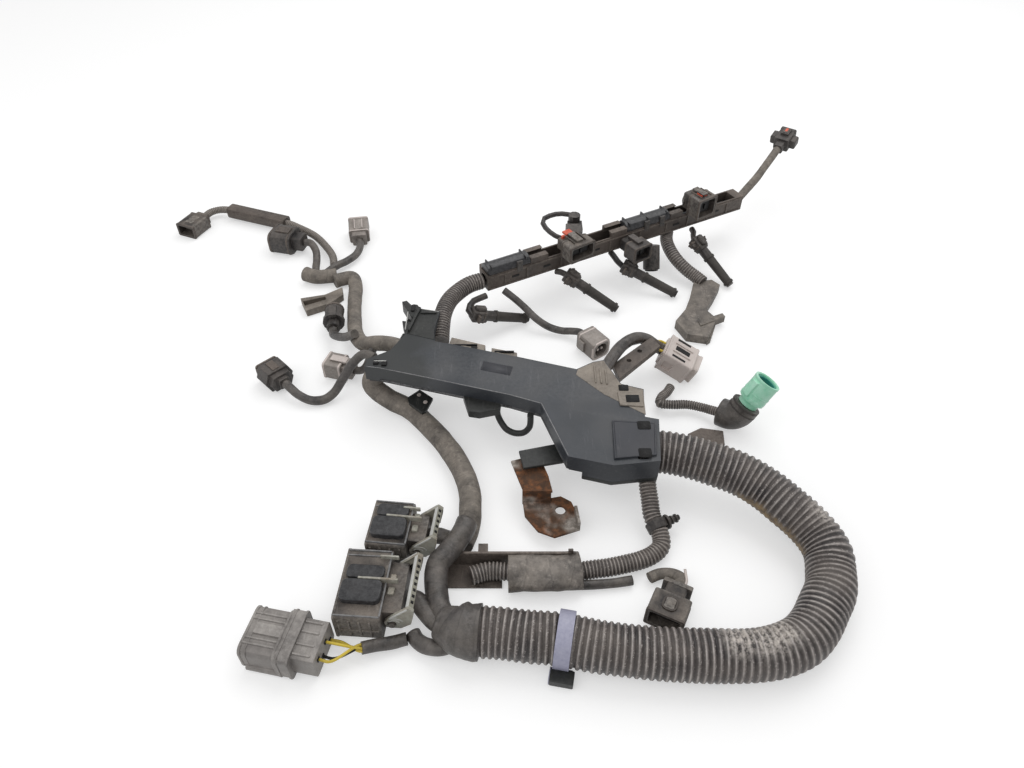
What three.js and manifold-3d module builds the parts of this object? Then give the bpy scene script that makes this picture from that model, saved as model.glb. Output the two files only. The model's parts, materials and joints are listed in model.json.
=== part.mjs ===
// Engine wiring harness: a moulded cable trough with its branches, laid out flat as it was photographed.
// Millimetres, Z up, the floor at z = 0. X runs to the right of the picture and Y away from the viewer.
import * as THREE from "three";
import { mergeVertices } from "three/addons/utils/BufferGeometryUtils.js";
import Module from "manifold-3d";

const wasm = await Module();
wasm.setup();

// Driving dimensions
const GAP = 0.3;            // air left between pieces that touch
const MAIN_D = 38;          // wide corrugated conduit on the right
const INJECTOR_D = 18;      // corrugated conduit from the trough to the injector rail
const TRUNK_D = 20;         // taped trunk to the control unit connectors
const LEFT_D = 16;          // taped trunk to the left branches
const LOWER_D = 15;         // corrugated branch below the trough
const FUEL_D = 15;          // corrugated branch on the right of the rail
const LEAD_D = 9;           // taped leads of the small plugs
const BUNDLE_D = 18;        // taped bundles at the control unit connectors
const COVER_TOP = 60;       // height of the trough cover above the floor
const COVER_WALL = 2.2;     // wall of the trough mouldings
const COVER_SKIRT = 16;     // depth of the cover's skirt
const BODY_BOTTOM = 40;     // underside of the trough between its ends
const NECK_BOTTOM = 15;     // underside of the trough at its right neck
const NECK_Z = 38;          // height of the wide conduit's centre in the neck
const RAIL_LENGTH = 356;    // injector rail channel
const RAIL_WIDTH = 20;
const RAIL_HEIGHT = 19;
const RAIL_WALL = 2;
const RAIL_Z = 40;          // underside of the rail above the floor
const RAIL_TURN = 28.4;     // degrees of the rail from X
const HOUSING_H = 30;       // height of the control unit connectors
const LEVER_ARM = 27;       // reach of a connector lever from its pivot
const LEVER_REST = 45;      // degrees that a lever stands up from flat in the photograph
const PIVOT_X = 7;          // pivot of a lever beyond the block of its connector
const PIVOT_Z = 15;         // height of the levers' pivots
const GLOW_LENGTH = 66;     // glow plug connector from head to tip
const CENTRE = [-27, -14];  // layout point that is moved to the origin

// Routes of the cords through the layout, chosen by eye from the photograph
const ROUTES = {
  main_conduit: [[122, -175, 38], [138, -177, 38], [156, -182, 38], [177, -190, 37], [199, -200, 35],
    [217, -213, 32], [232, -229, 29], [244, -242, 26], [253, -256, 23], [257, -271, 21], [255, -286, 19],
    [250, -303, 19], [240, -318, 19], [229, -333, 19], [216, -345, 19], [198, -353, 19], [178, -357, 19],
    [146, -357, 19], [120, -356, 19], [94, -354, 19], [65, -350, 19], [36, -344, 19], [13, -342, 19],
    [-9, -339, 19], [-38, -337, 19]],
  injector_conduit: [[-73, -30, 41], [-73, -14, 45], [-72, 5, 48], [-67, 26, 49], [-58, 42, 49],
    [-46, 54, 50], [-33, 61, 50]],
  ecu_trunk: [[-118, -75, 47], [-132, -76, 40], [-138, -79, 28], [-123, -87, 17], [-100, -98, 11],
    [-79, -121, 10.2], [-60, -147, 10.2], [-47, -171, 10.2], [-38, -197, 10.2], [-36, -219, 10.2],
    [-37, -238, 10.2], [-42, -255, 10.2]],
  left_trunk: [[-104, -52, 50], [-123, -42, 48], [-138, -34, 42], [-152, -24, 32], [-166, 3, 20],
    [-175, 42, 11], [-181, 80, 8], [-184, 108, 8], [-191, 124, 8], [-202, 121, 8], [-210, 116, 8]],
  sensor_lead: [[-134, -66, 51], [-146, -60, 50], [-157, -62, 41], [-170, -67, 22], [-180, -73, 9],
    [-189, -79, 6], [-202, -80, 6], [-215, -75, 9], [-226, -66, 12.2], [-230, -62, 12.2]],
  round_lead: [[-162, -18, 41], [-175, -8, 28], [-188, 5, 18], [-194, 14, 14], [-195, 22, 14]],
  lower_conduit: [[118, -196, 30], [118, -205, 26], [119, -216, 21], [120, -230, 16], [125, -243, 12],
    [125, -255, 9], [117, -263, 8], [107, -268, 8], [93, -272, 8], [80, -275, 8], [66, -277, 8],
    [54, -279, 8], [31, -280, 8], [-3, -279, 8], [-21, -279, 8], [-33, -283, 8]],
  lower_tail: [[98, -285, 4.5], [80, -288, 4.5], [50, -290, 5], [20, -291, 6], [-3, -291, 6]],
  lower_lead: [[112, -284, 6], [121, -280, 6], [131, -280, 6], [137, -286, 8], [133, -294, 9.2]],
  pale_lead: [[-9, 62, 36], [1, 56, 31], [14, 48, 23], [27, 38, 15], [41, 31, 9], [55, 27, 7],
    [66, 24, 9], [74, 20, 11], [79, 13, 11]],
  fuel_conduit: [[190, 184, 39.3], [190, 183.8, 35], [188, 173, 30], [190, 155, 27], [197, 140, 22],
    [208, 128, 16], [218, 120, 12], [225, 112, 10]],
  white_lead: [[84, -92, 50], [97, -66, 49], [110, -43, 46], [127, -26, 42], [140, -22, 36],
    [148, -24, 30], [155, -27, 27]],
  green_lead: [[161, -64, 9], [156, -72, 9], [150, -79, 10], [147, -88, 10], [158, -90, 10],
    [174, -89, 9], [188, -93, 9], [197, -99, 11], [204, -105, 14]],
  boot: [[203, -104, 14.5], [211, -110, 16], [218, -112, 21], [224, -110, 31]],
  injector_lead_4: [[286, 236, 50], [297, 249, 54], [313, 268, 60], [331, 292, 68], [347, 314, 75]],
  small_lead: [[-216, 148, 8], [-221, 168, 8], [-232, 188, 8], [-251, 213, 8], [-274, 230, 9],
    [-292, 240, 10], [-335, 255, 10], [-376, 272, 10], [-389, 274, 9], [-399, 268, 9], [-404, 256, 9]],
  loop: [[-36, -125, 46], [-26, -132, 40], [-15, -131, 28], [-9, -127, 14], [1, -124, 8], [11, -127, 14],
    [16, -133, 28], [19, -143, 38], [24, -155, 40], [32, -175, 40]],
  ecu_fold: [[-38, -241, 22], [-42, -252, 23], [-51, -268, 22], [-60, -283, 20], [-60, -300, 17],
    [-56, -316, 16], [-50, -327, 17], [-41, -333, 19]],
  ecu_root_a: [[-69.5, -249.6, 15], [-60, -250, 15], [-48, -256, 18]],
  ecu_tail: [[-81.5, -308, 15], [-75, -309.5, 15.5], [-67, -320, 16], [-58, -329, 15], [-41, -337, 16]],
  ecu_loop: [[-76, -333, 7], [-72, -339, 7], [-64, -344, 8], [-53, -347, 10], [-41, -343, 14]],
  plug_lead: [[-113, -347, 11], [-104, -344, 9], [-92, -341, 7.5], [-80, -338, 8]],
  junction_stem: [[-209, 128, 9], [-221, 125, 9], [-234, 124, 9], [-247, 130, 9]],
  oval_lead: [[-234, 128, 9], [-237, 144, 9], [-239, 160, 9], [-243, 176, 11], [-251, 188, 14],
    [-259, 190, 14]],
  upright_lead: [[-226, 126, 9], [-213, 146, 9], [-202, 158, 8], [-193, 172, 8], [-190, 188, 9],
    [-192, 200, 10]],
};

// Paint of each material
const PAINTS = {
  blue_black_plastic: { color: 0x33373d, roughness: 0.55, metalness: 0 },
  black_plastic: { color: 0x26262a, roughness: 0.6, metalness: 0 },
  brown_plastic: { color: 0x4f4845, roughness: 0.65, metalness: 0 },
  conduit: { color: 0x4a4543, roughness: 0.6, metalness: 0 },
  cloth_tape: { color: 0x4b4645, roughness: 0.9, metalness: 0 },
  rubber: { color: 0x1f1f21, roughness: 0.8, metalness: 0 },
  rust: { color: 0x8a5636, roughness: 0.9, metalness: 0.4 },
  grey_plastic: { color: 0x8a8580, roughness: 0.5, metalness: 0 },
  pale_plastic: { color: 0xb0a49e, roughness: 0.5, metalness: 0 },
  lever_plastic: { color: 0xa6aaa0, roughness: 0.5, metalness: 0 },
  green_plastic: { color: 0x5fb98a, roughness: 0.4, metalness: 0 },
  clamp_plastic: { color: 0x8a8ca6, roughness: 0.4, metalness: 0 },
};

// Solids

// A three.js geometry as a manifold solid.
function solid(geometry) {
  const bare = geometry.index ? geometry.toNonIndexed() : geometry;
  bare.deleteAttribute("normal");
  bare.deleteAttribute("uv");
  const merged = mergeVertices(bare, 1e-4);
  return new wasm.Manifold(new wasm.Mesh({
    numProp: 3,
    vertProperties: new Float32Array(merged.attributes.position.array),
    triVerts: new Uint32Array(merged.index.array),
  }));
}

// A manifold solid as a named three.js mesh in its paint.
function piece(name, body, paint) {
  const mesh = body.getMesh();
  const geometry = new THREE.BufferGeometry();
  geometry.setAttribute("position", new THREE.BufferAttribute(mesh.vertProperties, 3));
  geometry.setIndex(new THREE.BufferAttribute(mesh.triVerts, 1));
  geometry.computeVertexNormals();
  const made = new THREE.Mesh(geometry, new THREE.MeshStandardMaterial(PAINTS[paint]));
  made.name = name;
  return made;
}

function join(...bodies) {
  return bodies.reduce((sum, body) => sum.add(body));
}

function cut(body, ...tools) {
  return tools.reduce((rest, tool) => rest.subtract(tool), body);
}

// The largest of the bodies that a cut left.
function largest(body) {
  return body.decompose().sort((a, b) => b.volume() - a.volume())[0];
}

// A box from its low corner to its high corner.
function box(low, high) {
  const size = high.map((value, i) => value - low[i]);
  const geometry = new THREE.BoxGeometry(...size);
  geometry.translate(...low.map((value, i) => value + size[i] / 2));
  return solid(geometry);
}

function vectors(points) {
  return points.map(([x, y]) => new THREE.Vector2(x, y));
}

// An upright prism over a plan outline.
function prism(outline, bottom, top) {
  const geometry = new THREE.ExtrudeGeometry(new THREE.Shape(vectors(outline)), {
    depth: top - bottom, bevelEnabled: false,
  });
  geometry.translate(0, 0, bottom);
  return solid(geometry);
}

// A regular ring of points.
function ring(sides, radius) {
  return Array.from({ length: sides }, (_, i) => {
    const turn = (2 * Math.PI * i) / sides;
    return [radius * Math.cos(turn), radius * Math.sin(turn)];
  });
}

// The corners of a rounded rectangle, three points to a corner.
function rounded(width, height, radius) {
  const points = [];
  const corners = [[1, 1, 0], [-1, 1, 90], [-1, -1, 180], [1, -1, 270]];
  for (const [sx, sy, start] of corners) {
    for (const step of [0, 45, 90]) {
      const turn = THREE.MathUtils.degToRad(start + step);
      points.push([
        sx * (width / 2 - radius) + radius * Math.cos(turn),
        sy * (height / 2 - radius) + radius * Math.sin(turn),
      ]);
    }
  }
  return points;
}

// A section drawn in Y and Z, drawn out along X.
function along(section, from, to) {
  const geometry = new THREE.ExtrudeGeometry(new THREE.Shape(vectors(section)), {
    depth: to - from, bevelEnabled: false,
  });
  const axes = new THREE.Matrix4().makeBasis(
    new THREE.Vector3(0, 1, 0), new THREE.Vector3(0, 0, 1), new THREE.Vector3(1, 0, 0));
  geometry.applyMatrix4(axes);
  geometry.translate(from, 0, 0);
  return solid(geometry);
}

// A bar along X: a rounded rectangle of the given width and height about the X axis.
function bar(from, to, width, height, radius = 2, y = 0, z = 0) {
  return along(rounded(width, height, radius).map(([a, b]) => [a + y, b + z]), from, to);
}

// A round rod along X.
function rod(from, to, diameter, y = 0, z = 0, sides = 12) {
  return along(ring(sides, diameter / 2).map(([a, b]) => [a + y, b + z]), from, to);
}

// A round rod along Y.
function pin(x, z, diameter, from, to, sides = 12) {
  const geometry = new THREE.CylinderGeometry(diameter / 2, diameter / 2, to - from, sides);
  geometry.translate(x, (from + to) / 2, z);
  return solid(geometry);
}

// A round post along Z.
function post(x, y, diameter, bottom, top, sides = 12) {
  return prism(ring(sides, diameter / 2).map(([a, b]) => [a + x, b + y]), bottom, top);
}

function path(points) {
  return new THREE.CatmullRomCurve3(points.map((p) => new THREE.Vector3(...p)), false, "centripetal");
}

// The number of straight steps a cord is built in.
function stepsOf(points, diameter) {
  return Math.min(60, Math.max(3, Math.ceil(path(points).getLength() / Math.min(18, 1.3 * diameter))));
}

// A cord of round section along a route.
function cord(points, diameter, sides = 10, steps = stepsOf(points, diameter)) {
  return solid(new THREE.ExtrudeGeometry(new THREE.Shape(vectors(ring(sides, diameter / 2))), {
    steps, bevelEnabled: false, extrudePath: path(points),
  }));
}

// The room a cord needs in a neighbour: the cord with the gap all round and at both ends.
function room(points, diameter, sides = 10) {
  const steps = stepsOf(points, diameter);
  const body = cord(points, (diameter + 2 * GAP) / Math.cos(Math.PI / sides), sides, steps);
  const curve = path(points);
  const caps = [0, 1].map((t) => {
    const sign = t === 0 ? -1 : 1;
    const point = curve.getPoint(t).addScaledVector(curve.getTangent(t), -sign * diameter * 0.2);
    const beyond = curve.getPoint(t).addScaledVector(curve.getTangent(t), sign * GAP * 1.5);
    return cord([point.toArray(), beyond.toArray()], diameter + 2 * GAP, sides, 1);
  });
  return join(body, ...caps);
}

// Puts a mesh with its own X axis along a direction, its wire side the gap beyond a point.
function aim(mesh, point, direction, roll = 0, clear = GAP) {
  const x = direction.clone().normalize();
  const y = new THREE.Vector3(0, 0, 1).cross(x).normalize();
  const z = x.clone().cross(y);
  mesh.quaternion.setFromRotationMatrix(new THREE.Matrix4().makeBasis(x, y, z));
  mesh.rotateX(THREE.MathUtils.degToRad(roll));
  mesh.position.copy(point).addScaledVector(x, clear);
  return mesh;
}

// Puts a plug on the far end of a route.
function atEnd(mesh, points, roll = 0) {
  const curve = path(points);
  return aim(mesh, curve.getPoint(1), curve.getTangent(1), roll);
}

// An outline moved inwards by a distance, corner by corner.
function inset(outline, distance) {
  const count = outline.length;
  return outline.map((point, i) => {
    const before = new THREE.Vector2(...outline[(i + count - 1) % count]);
    const here = new THREE.Vector2(...point);
    const after = new THREE.Vector2(...outline[(i + 1) % count]);
    const a = here.clone().sub(before).normalize();
    const b = after.clone().sub(here).normalize();
    const normalA = new THREE.Vector2(a.y, -a.x);
    const normalB = new THREE.Vector2(b.y, -b.x);
    const mid = normalA.clone().add(normalB).normalize();
    const reach = distance / Math.max(0.5, mid.dot(normalA));
    return [here.x + mid.x * reach, here.y + mid.y * reach];
  });
}

// Cable trough

// Plan of the cover, clockwise from the top of the left wing.
const TROUGH = [[-96, 0], [-74, -5], [-78, -33], [-76, -52], [-63, -55], [-26, -66], [7, -75], [61, -92],
  [77, -82], [88, -79], [101, -112], [121, -119], [118, -154], [130, -157], [125, -205], [85, -210],
  [47, -200], [26, -138], [-2, -127], [-73, -106], [-126, -91], [-140, -89], [-139, -78], [-118, -65],
  [-106, -41]];

// Plan of the deep right end that holds the wide conduit.
const NECK = [[70, -150], [118, -154], [130, -157], [125, -205], [85, -210], [60, -203]];

function conduitRoom() {
  return room(ROUTES.main_conduit, MAIN_D, 14);
}

function troughRooms() {
  return [
    conduitRoom(),
    room(ROUTES.injector_conduit, INJECTOR_D),
    room(ROUTES.left_trunk, LEFT_D),
    room(ROUTES.ecu_trunk, TRUNK_D),
    room(ROUTES.sensor_lead, LEAD_D),
    room(ROUTES.lower_conduit, LOWER_D),
    room(ROUTES.white_lead, LEAD_D + 3),
  ];
}

function troughCover() {
  const skirt = COVER_TOP - COVER_SKIRT;
  const shell = cut(
    join(
      prism(TROUGH, skirt, COVER_TOP),
      prism(inset(NECK, 0), NECK_Z, COVER_TOP),
    ),
    prism(inset(TROUGH, COVER_WALL), NECK_Z - 1, COVER_TOP - COVER_WALL),
  );
  // Raised panel over the neck, with its two square windows.
  const panel = prism([[88, -160], [126, -163], [122, -200], [86, -204]], COVER_TOP - 1, COVER_TOP + 1.5);
  const windows = [
    box([108, -168, COVER_TOP - 3], [117, -160, COVER_TOP + 3]),
    box([106, -203, COVER_TOP - 3], [115, -190, COVER_TOP + 3]),
  ];
  // Pockets behind the prongs of the far right corner.
  const pockets = [
    box([99, -122, COVER_TOP - 6], [107, -114, COVER_TOP + 1]),
    box([104, -137, COVER_TOP - 6], [115, -128, COVER_TOP + 1]),
  ];
  const body = cut(join(shell, panel), ...windows, ...pockets, ...troughRooms());
  return piece("trough_cover", largest(body), "blue_black_plastic");
}

function troughBase() {
  const inner = inset(TROUGH, COVER_WALL + GAP);
  const hollow = inset(TROUGH, 2 * COVER_WALL + GAP);
  const lid = COVER_TOP - COVER_WALL - GAP;
  const neckTop = NECK_Z - GAP;
  const tray = cut(
    join(
      prism(inner, BODY_BOTTOM, lid),
      prism(NECK, NECK_BOTTOM, neckTop),
    ),
    prism(hollow, BODY_BOTTOM + COVER_WALL, COVER_TOP),
    prism(inset(NECK, COVER_WALL), NECK_BOTTOM + COVER_WALL, COVER_TOP),
  );
  // Catches along the far edge and the clips of the left wing.
  const catches = [
    [[-60, -54], [-34, -61]],
    [[-20, -65], [5, -72]],
  ].map(([a, b]) => prism(
    [[a[0], a[1] - 4], [b[0], b[1] - 4], [b[0] + 1, b[1] + 5], [a[0] + 1, a[1] + 5]],
    BODY_BOTTOM, COVER_TOP - COVER_SKIRT - GAP));
  const clips = [
    prism([[-112, -8], [-90, -16], [-88, -5], [-109, 4]], BODY_BOTTOM, BODY_BOTTOM + 3),
    prism([[-116, -34], [-94, -36], [-92, -22], [-112, -20]], BODY_BOTTOM, BODY_BOTTOM + 3),
  ];
  const body = cut(join(tray, ...catches, ...clips), ...troughRooms());
  return piece("trough_base", largest(body), "blue_black_plastic");
}

// Black rubber hose that loops below the near edge, with the clip that holds it.
function troughLoop() {
  const clip = prism([[-46, -119], [-24, -124], [-30, -136], [-40, -134]], 40, 46);
  return piece("trough_loop", join(cord(ROUTES.loop, 6, 8), clip), "rubber");
}

// Steel bracket and the arm that carries it

function bracketArm() {
  const arm = prism([[6, -172], [54, -160], [58, -182], [10, -192]], 0, 3);
  const mesh = piece("bracket_arm", arm, "black_plastic");
  mesh.position.z = 32;
  return mesh;
}

function steelBracket() {
  const sheet = 2.5;
  const plate = prism([[-1, -178], [24, -170], [32, -195], [35, -212], [10, -212]], 28 - sheet, 28);
  const lobe = prism([[9, -207], [11, -226], [22, -242], [36, -248], [58, -240], [56, -222], [52, -211],
    [43, -205], [34, -207]], 12 - sheet, 12);
  const fold = prism([[9, -212], [34, -212], [34, -207], [9, -207]], 12 - sheet, 28);
  const lip = prism([[55.5, -240], [58, -240], [56, -222], [53.5, -222]], 12 - sheet, 21);
  const hole = post(42, -220, 9, 0, 30, 16);
  return piece("steel_bracket", cut(join(plate, lobe, fold, lip), hole), "rust");
}

// Small black plate with two holes, clipped on the taped trunk.
function plateClip() {
  const plate = prism([[-97, -80], [-84, -67], [-74, -84], [-80, -92]], 18, 20.5);
  const stem = prism([[-96, -92], [-84, -84], [-78, -90], [-90, -100]], 18, 24);
  const holes = [post(-86, -84, 3, 10, 30, 8), post(-80, -79, 3, 10, 30, 8)];
  const body = cut(join(plate, stem), ...holes, room(ROUTES.ecu_trunk, TRUNK_D));
  return piece("plate_clip", largest(body), "black_plastic");
}

// Wide conduit

function mainConduit() {
  return piece("main_conduit", cord(ROUTES.main_conduit, MAIN_D, 14), "conduit");
}

// Plastic band round the wide conduit, with its foot towards the viewer.
function conduitBand() {
  const outer = rod(-6, 6, MAIN_D + 6, 0, 0, 20);
  const foot = box([-8, -MAIN_D / 2 - 9, -MAIN_D / 2 + 1], [9, -MAIN_D / 2 + 2, -MAIN_D / 2 + 8]);
  const bore = rod(-20, 20, (MAIN_D + 2.8) / Math.cos(Math.PI / 20), 0, 0, 20);
  const floor = box([-20, -60, -60], [20, 60, -MAIN_D / 2]);
  const band = piece("conduit_band", cut(join(outer, foot), bore, floor), "clamp_plastic");
  const curve = path(ROUTES.main_conduit);
  const near = curve.getPoints(200).find((p) => p.y < -300 && p.x < 41);
  return aim(band, near, new THREE.Vector3(1, -0.19, 0), 0, 0);
}

// Control unit connectors

function ecuTrunk() {
  return piece("ecu_trunk", cord(ROUTES.ecu_trunk, TRUNK_D), "cloth_tape");
}

// The taped bundles that join in the mouth of the wide conduit.
function ecuBundle() {
  const body = cut(
    join(
      cord(ROUTES.ecu_fold, BUNDLE_D),
      cord(ROUTES.ecu_root_a, BUNDLE_D - 4),
      cord(ROUTES.ecu_tail, BUNDLE_D - 4),
      cord(ROUTES.ecu_loop, BUNDLE_D - 6, 8),
    ),
    conduitRoom(),
    room(ROUTES.ecu_trunk, TRUNK_D),
    room(ROUTES.plug_lead, LEAD_D + 1),
    box([-120, -360, -20], [-20, -230, 0]),
  );
  return piece("ecu_bundle", largest(body), "cloth_tape");
}

// One control unit connector with its mouth towards minus X and its lever pins on a neck at plus X.
function ecuHousing(name, length, width) {
  const wall = 2.5;
  const half = width / 2;
  const block = bar(-length, 0, width, HOUSING_H, 3, 0, HOUSING_H / 2);
  const neck = box([-1, -half + 9, 4], [PIVOT_X + 7, half - 9, HOUSING_H - 4]);
  const raised = prism(rounded(length - 6, 18, 6).map(([x, y]) => [x - length / 2, y - half * 0.3]),
    HOUSING_H - 1, HOUSING_H + 5);
  const pins = pin(PIVOT_X, PIVOT_Z, 6, -half + 4, half - 4);
  const mouth = bar(-length - 1, -length + 18, width - 2 * wall - 2, HOUSING_H - 2 * wall - 2, 2, 0,
    HOUSING_H / 2);
  const tongue = bar(-length + 10, -length + 19, width - 20, 7, 1, 0, HOUSING_H / 2);
  const body = join(cut(join(block, neck, raised, pins), mouth), tongue);
  return piece(name, body, "black_plastic");
}

// The lever that draws a control unit connector home, turning on the pins of the neck.
// Its origin is the pivot and its bar lies out along plus X.
function ecuLever(name, width) {
  const half = width / 2;
  const thick = 2.6;
  const inner = half - 9 + GAP;
  const cheek = [[-5, -4], [0, -9], [11, -10], [LEVER_ARM - 5, -3], [LEVER_ARM, 1], [LEVER_ARM, 6.3],
    [3, 6.3], [-3, 5.4], [-6, 2]];
  const plates = [inner, -inner - thick].map((y) => {
    const geometry = new THREE.ExtrudeGeometry(new THREE.Shape(vectors(cheek)), {
      depth: thick, bevelEnabled: false,
    });
    geometry.rotateX(Math.PI / 2);
    geometry.translate(0, y + thick, 0);
    return solid(geometry);
  });
  const grip = box([LEVER_ARM - 3.5, -inner - 1, 1.5], [LEVER_ARM - 0.2, inner + 1, 6]);
  const holes = pin(0, 0, 6 + 2 * GAP + 0.2, -half, half, 16);
  return piece(name, cut(join(...plates, grip), holes), "lever_plastic");
}

// A connector and its lever, set in the layout at the foot of the face its wires leave by.
function ecuConnector(letter, length, width, x, y, turn) {
  const group = new THREE.Group();
  const lever = ecuLever("ecu_" + letter + "_lever", width);
  lever.position.set(PIVOT_X, 0, PIVOT_Z);
  lever.rotation.y = -THREE.MathUtils.degToRad(LEVER_REST);
  group.add(ecuHousing("ecu_" + letter + "_housing", length, width), lever);
  group.position.set(x, y, 0);
  group.rotation.z = THREE.MathUtils.degToRad(turn);
  return group;
}

// Grey plug: shroud, flange and a rear body with four wires.
function greyPlug() {
  const wall = 2.4;
  const depth = 22;
  const end = 58;
  const body = join(
    bar(0, 20, 34, 23, 2),
    bar(18, 30, 44, 27, 4),
    bar(28, end, 40, 26, 6),
    bar(28, end - 3, 44, 6, 2, 0, -10),
  );
  const mouth = bar(end - depth, end + 1, 40 - 2 * wall, 26 - 2 * wall, 4);
  const core = bar(end - depth - 1, end - 9, 26, 12, 1);
  return piece("grey_plug", join(cut(body, mouth), core), "grey_plastic");
}

const PLUG_WIRES = [[10, 4], [4, -3], [-4, 4], [-10, -4]];

// The taped lead of the grey plug, with the four wires that leave it.
function greyLead(plug) {
  plug.updateMatrix();
  const tape = cord(ROUTES.plug_lead, LEAD_D + 1);
  const start = new THREE.Vector3(...ROUTES.plug_lead[0]);
  const wires = PLUG_WIRES.map(([y, z]) => {
    const end = new THREE.Vector3(-GAP, y, z).applyMatrix4(plug.matrix);
    const before = new THREE.Vector3(-9, y, z).applyMatrix4(plug.matrix);
    const side = new THREE.Vector3(4, 2 + y * 0.12, z * 0.3).add(start);
    return cord([side.toArray(), before.toArray(), end.toArray()], 2.6, 6);
  });
  const body = cut(join(tape, ...wires), conduitRoom(), box([-200, -400, -20], [0, -300, 0]));
  return piece("grey_lead", largest(body), "cloth_tape");
}

// Branch below the trough

function lowerConduit() {
  return piece("lower_conduit", cord(ROUTES.lower_conduit, LOWER_D), "conduit");
}

// Open half shell that the branch lies in, with the clip on its far side.
function channelGuide() {
  const shell = join(
    box([-54, -269, 3], [52, -267, 19]),
    box([-54, -290, 0.2], [-8, -267, 2]),
    box([-54, -292, 0.2], [-52, -267, 15]),
    box([46, -269, 15], [50, -267, 23]),
    box([-28, -268, 8], [-20, -256, 14]),
  );
  const body = cut(shell, room(ROUTES.lower_conduit, LOWER_D), room(ROUTES.ecu_trunk, TRUNK_D),
    room(ROUTES.ecu_fold, BUNDLE_D));
  return piece("channel_guide", largest(body), "brown_plastic");
}

// Tape that binds the branch to its guide, with the taped tail that leaves below it.
function lowerTape() {
  const wrap = bar(-2, 55, 34, 19, 7, -281, 9.6);
  const bulge = bar(22, 50, 36, 19.4, 8, -282, 9.8);
  const body = cut(
    join(wrap, bulge, cord(ROUTES.lower_tail, 8, 8)),
    room(ROUTES.lower_conduit, LOWER_D),
    box([-60, -269 - GAP, 3 - GAP], [60, -267 + GAP, 23 + GAP]),
  );
  return piece("lower_tape", largest(body), "cloth_tape");
}

function lowerLead() {
  const body = cut(cord(ROUTES.lower_lead, LEAD_D, 8), room(ROUTES.lower_conduit, LOWER_D));
  return piece("lower_lead", largest(body), "cloth_tape");
}

// Two way plug with a slide lock in its side.
function lowerPlug() {
  const body = join(
    bar(0, 4, 24, 14, 1),
    bar(3, 18, 17, 13, 2),
    bar(15, 38, 30, 17.4, 2),
    box([20, -4, 8], [31, 4, 10]),
  );
  const mouth = bar(27, 39, 24, 12, 1);
  const core = bar(26, 30.5, 14, 5, 1);
  return piece("lower_plug", join(cut(body, mouth), core), "black_plastic");
}

// Push in clip with a ribbed stud, strapped to the branch.
function pushClip() {
  const strap = rod(-4, 4, LOWER_D + 3.4, 0, 0, 12);
  const disc = rod(-1, 1, 16, 0, 0, 12);
  const stud = join(
    pin(0, 0, 5, 6, 22, 8),
    pin(0, 0, 13, 9, 11, 10),
    pin(0, 0, 8, 14, 15.5, 8),
    pin(0, 0, 8, 18, 19.5, 8),
    disc,
  );
  const bore = rod(-6, 6, (LOWER_D + 1.8) / Math.cos(Math.PI / 12), 0, 0, 12);
  const clip = piece("push_clip", cut(join(strap, stud), bore), "black_plastic");
  const curve = path(ROUTES.lower_conduit);
  const t = 0.2;
  return aim(clip, curve.getPointAt(t), curve.getTangentAt(t), 0, 0);
}

// Left branches

function leftTrunk() {
  const body = cord(ROUTES.left_trunk, LEFT_D);
  return piece("left_trunk", body, "cloth_tape");
}

// Taped joint of the left branches with the leads of the oval and the upright plug.
function leftJunction() {
  const body = cut(
    join(
      cord(ROUTES.junction_stem, LEFT_D + 1),
      cord(ROUTES.oval_lead, LEAD_D, 8),
      cord(ROUTES.upright_lead, LEAD_D, 8),
    ),
    room(ROUTES.left_trunk, LEFT_D),
    box([-300, 100, -20], [-150, 250, 0]),
  );
  return piece("left_junction", largest(body), "cloth_tape");
}

// Open two armed clip beside the left trunk.
function taupeClip() {
  const arm = prism([[-244, 83], [-233, 60], [-208, 74], [-196, 90], [-199, 104], [-217, 90]], 0.2, 9);
  const slot = prism([[-240, 77], [-236, 69], [-214, 81], [-216, 86]], 3, 12);
  const body = cut(arm, slot, room(ROUTES.left_trunk, LEFT_D));
  return piece("taupe_clip", largest(body), "brown_plastic");
}

function roundLead() {
  const body = cut(cord(ROUTES.round_lead, LEAD_D, 8), room(ROUTES.left_trunk, LEFT_D));
  return piece("round_lead", largest(body), "cloth_tape");
}

// Round plug with a collar and a latch.
function roundPlug() {
  const body = join(
    rod(0, 12, 15),
    rod(10, 15, 24, 0, 0, 14),
    rod(14, 32, 21, 0, 0, 14),
    box([8, -4, 9], [26, 4, 13]),
  );
  const mouth = rod(20, 33, 16);
  const core = rod(19, 24, 7, 0, 0, 8);
  return piece("round_plug", join(cut(body, mouth), core), "black_plastic");
}

// Square plug with its short stub of lead.
function squarePlug() {
  const body = join(bar(0, 12, 17, 15, 2), bar(10, 30, 22, 20, 3), box([4, -4, 9], [24, 4, 12]));
  const mouth = bar(18, 31, 17, 15, 2);
  const core = bar(17, 22, 9, 7, 1);
  const mesh = piece("square_plug", join(cut(body, mouth), core), "pale_plastic");
  return aim(mesh, new THREE.Vector3(-163, -42, 12.3), new THREE.Vector3(-1, 0.3, 0), 0, 0);
}

function sensorLead() {
  const body = cut(cord(ROUTES.sensor_lead, LEAD_D, 8), room(ROUTES.left_trunk, LEFT_D),
    room(ROUTES.ecu_trunk, TRUNK_D));
  return piece("sensor_lead", largest(body), "cloth_tape");
}

// Six sided plug with stepped shoulders.
function sensorPlug() {
  const section = [[13, 0], [9, 9], [-9, 9], [-13, 0], [-9, -9], [9, -9]];
  const wide = [[16, 0], [11, 12], [-11, 12], [-16, 0], [-11, -12], [11, -12]];
  const body = join(bar(0, 6, 12, 12, 2), along(section, 4, 12), along(wide, 10, 28), bar(26, 34, 24, 18, 3));
  const mouth = bar(23, 35, 18, 12, 2);
  const core = bar(22, 26, 10, 5, 1);
  return piece("sensor_plug", join(cut(body, mouth), core), "black_plastic");
}

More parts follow.
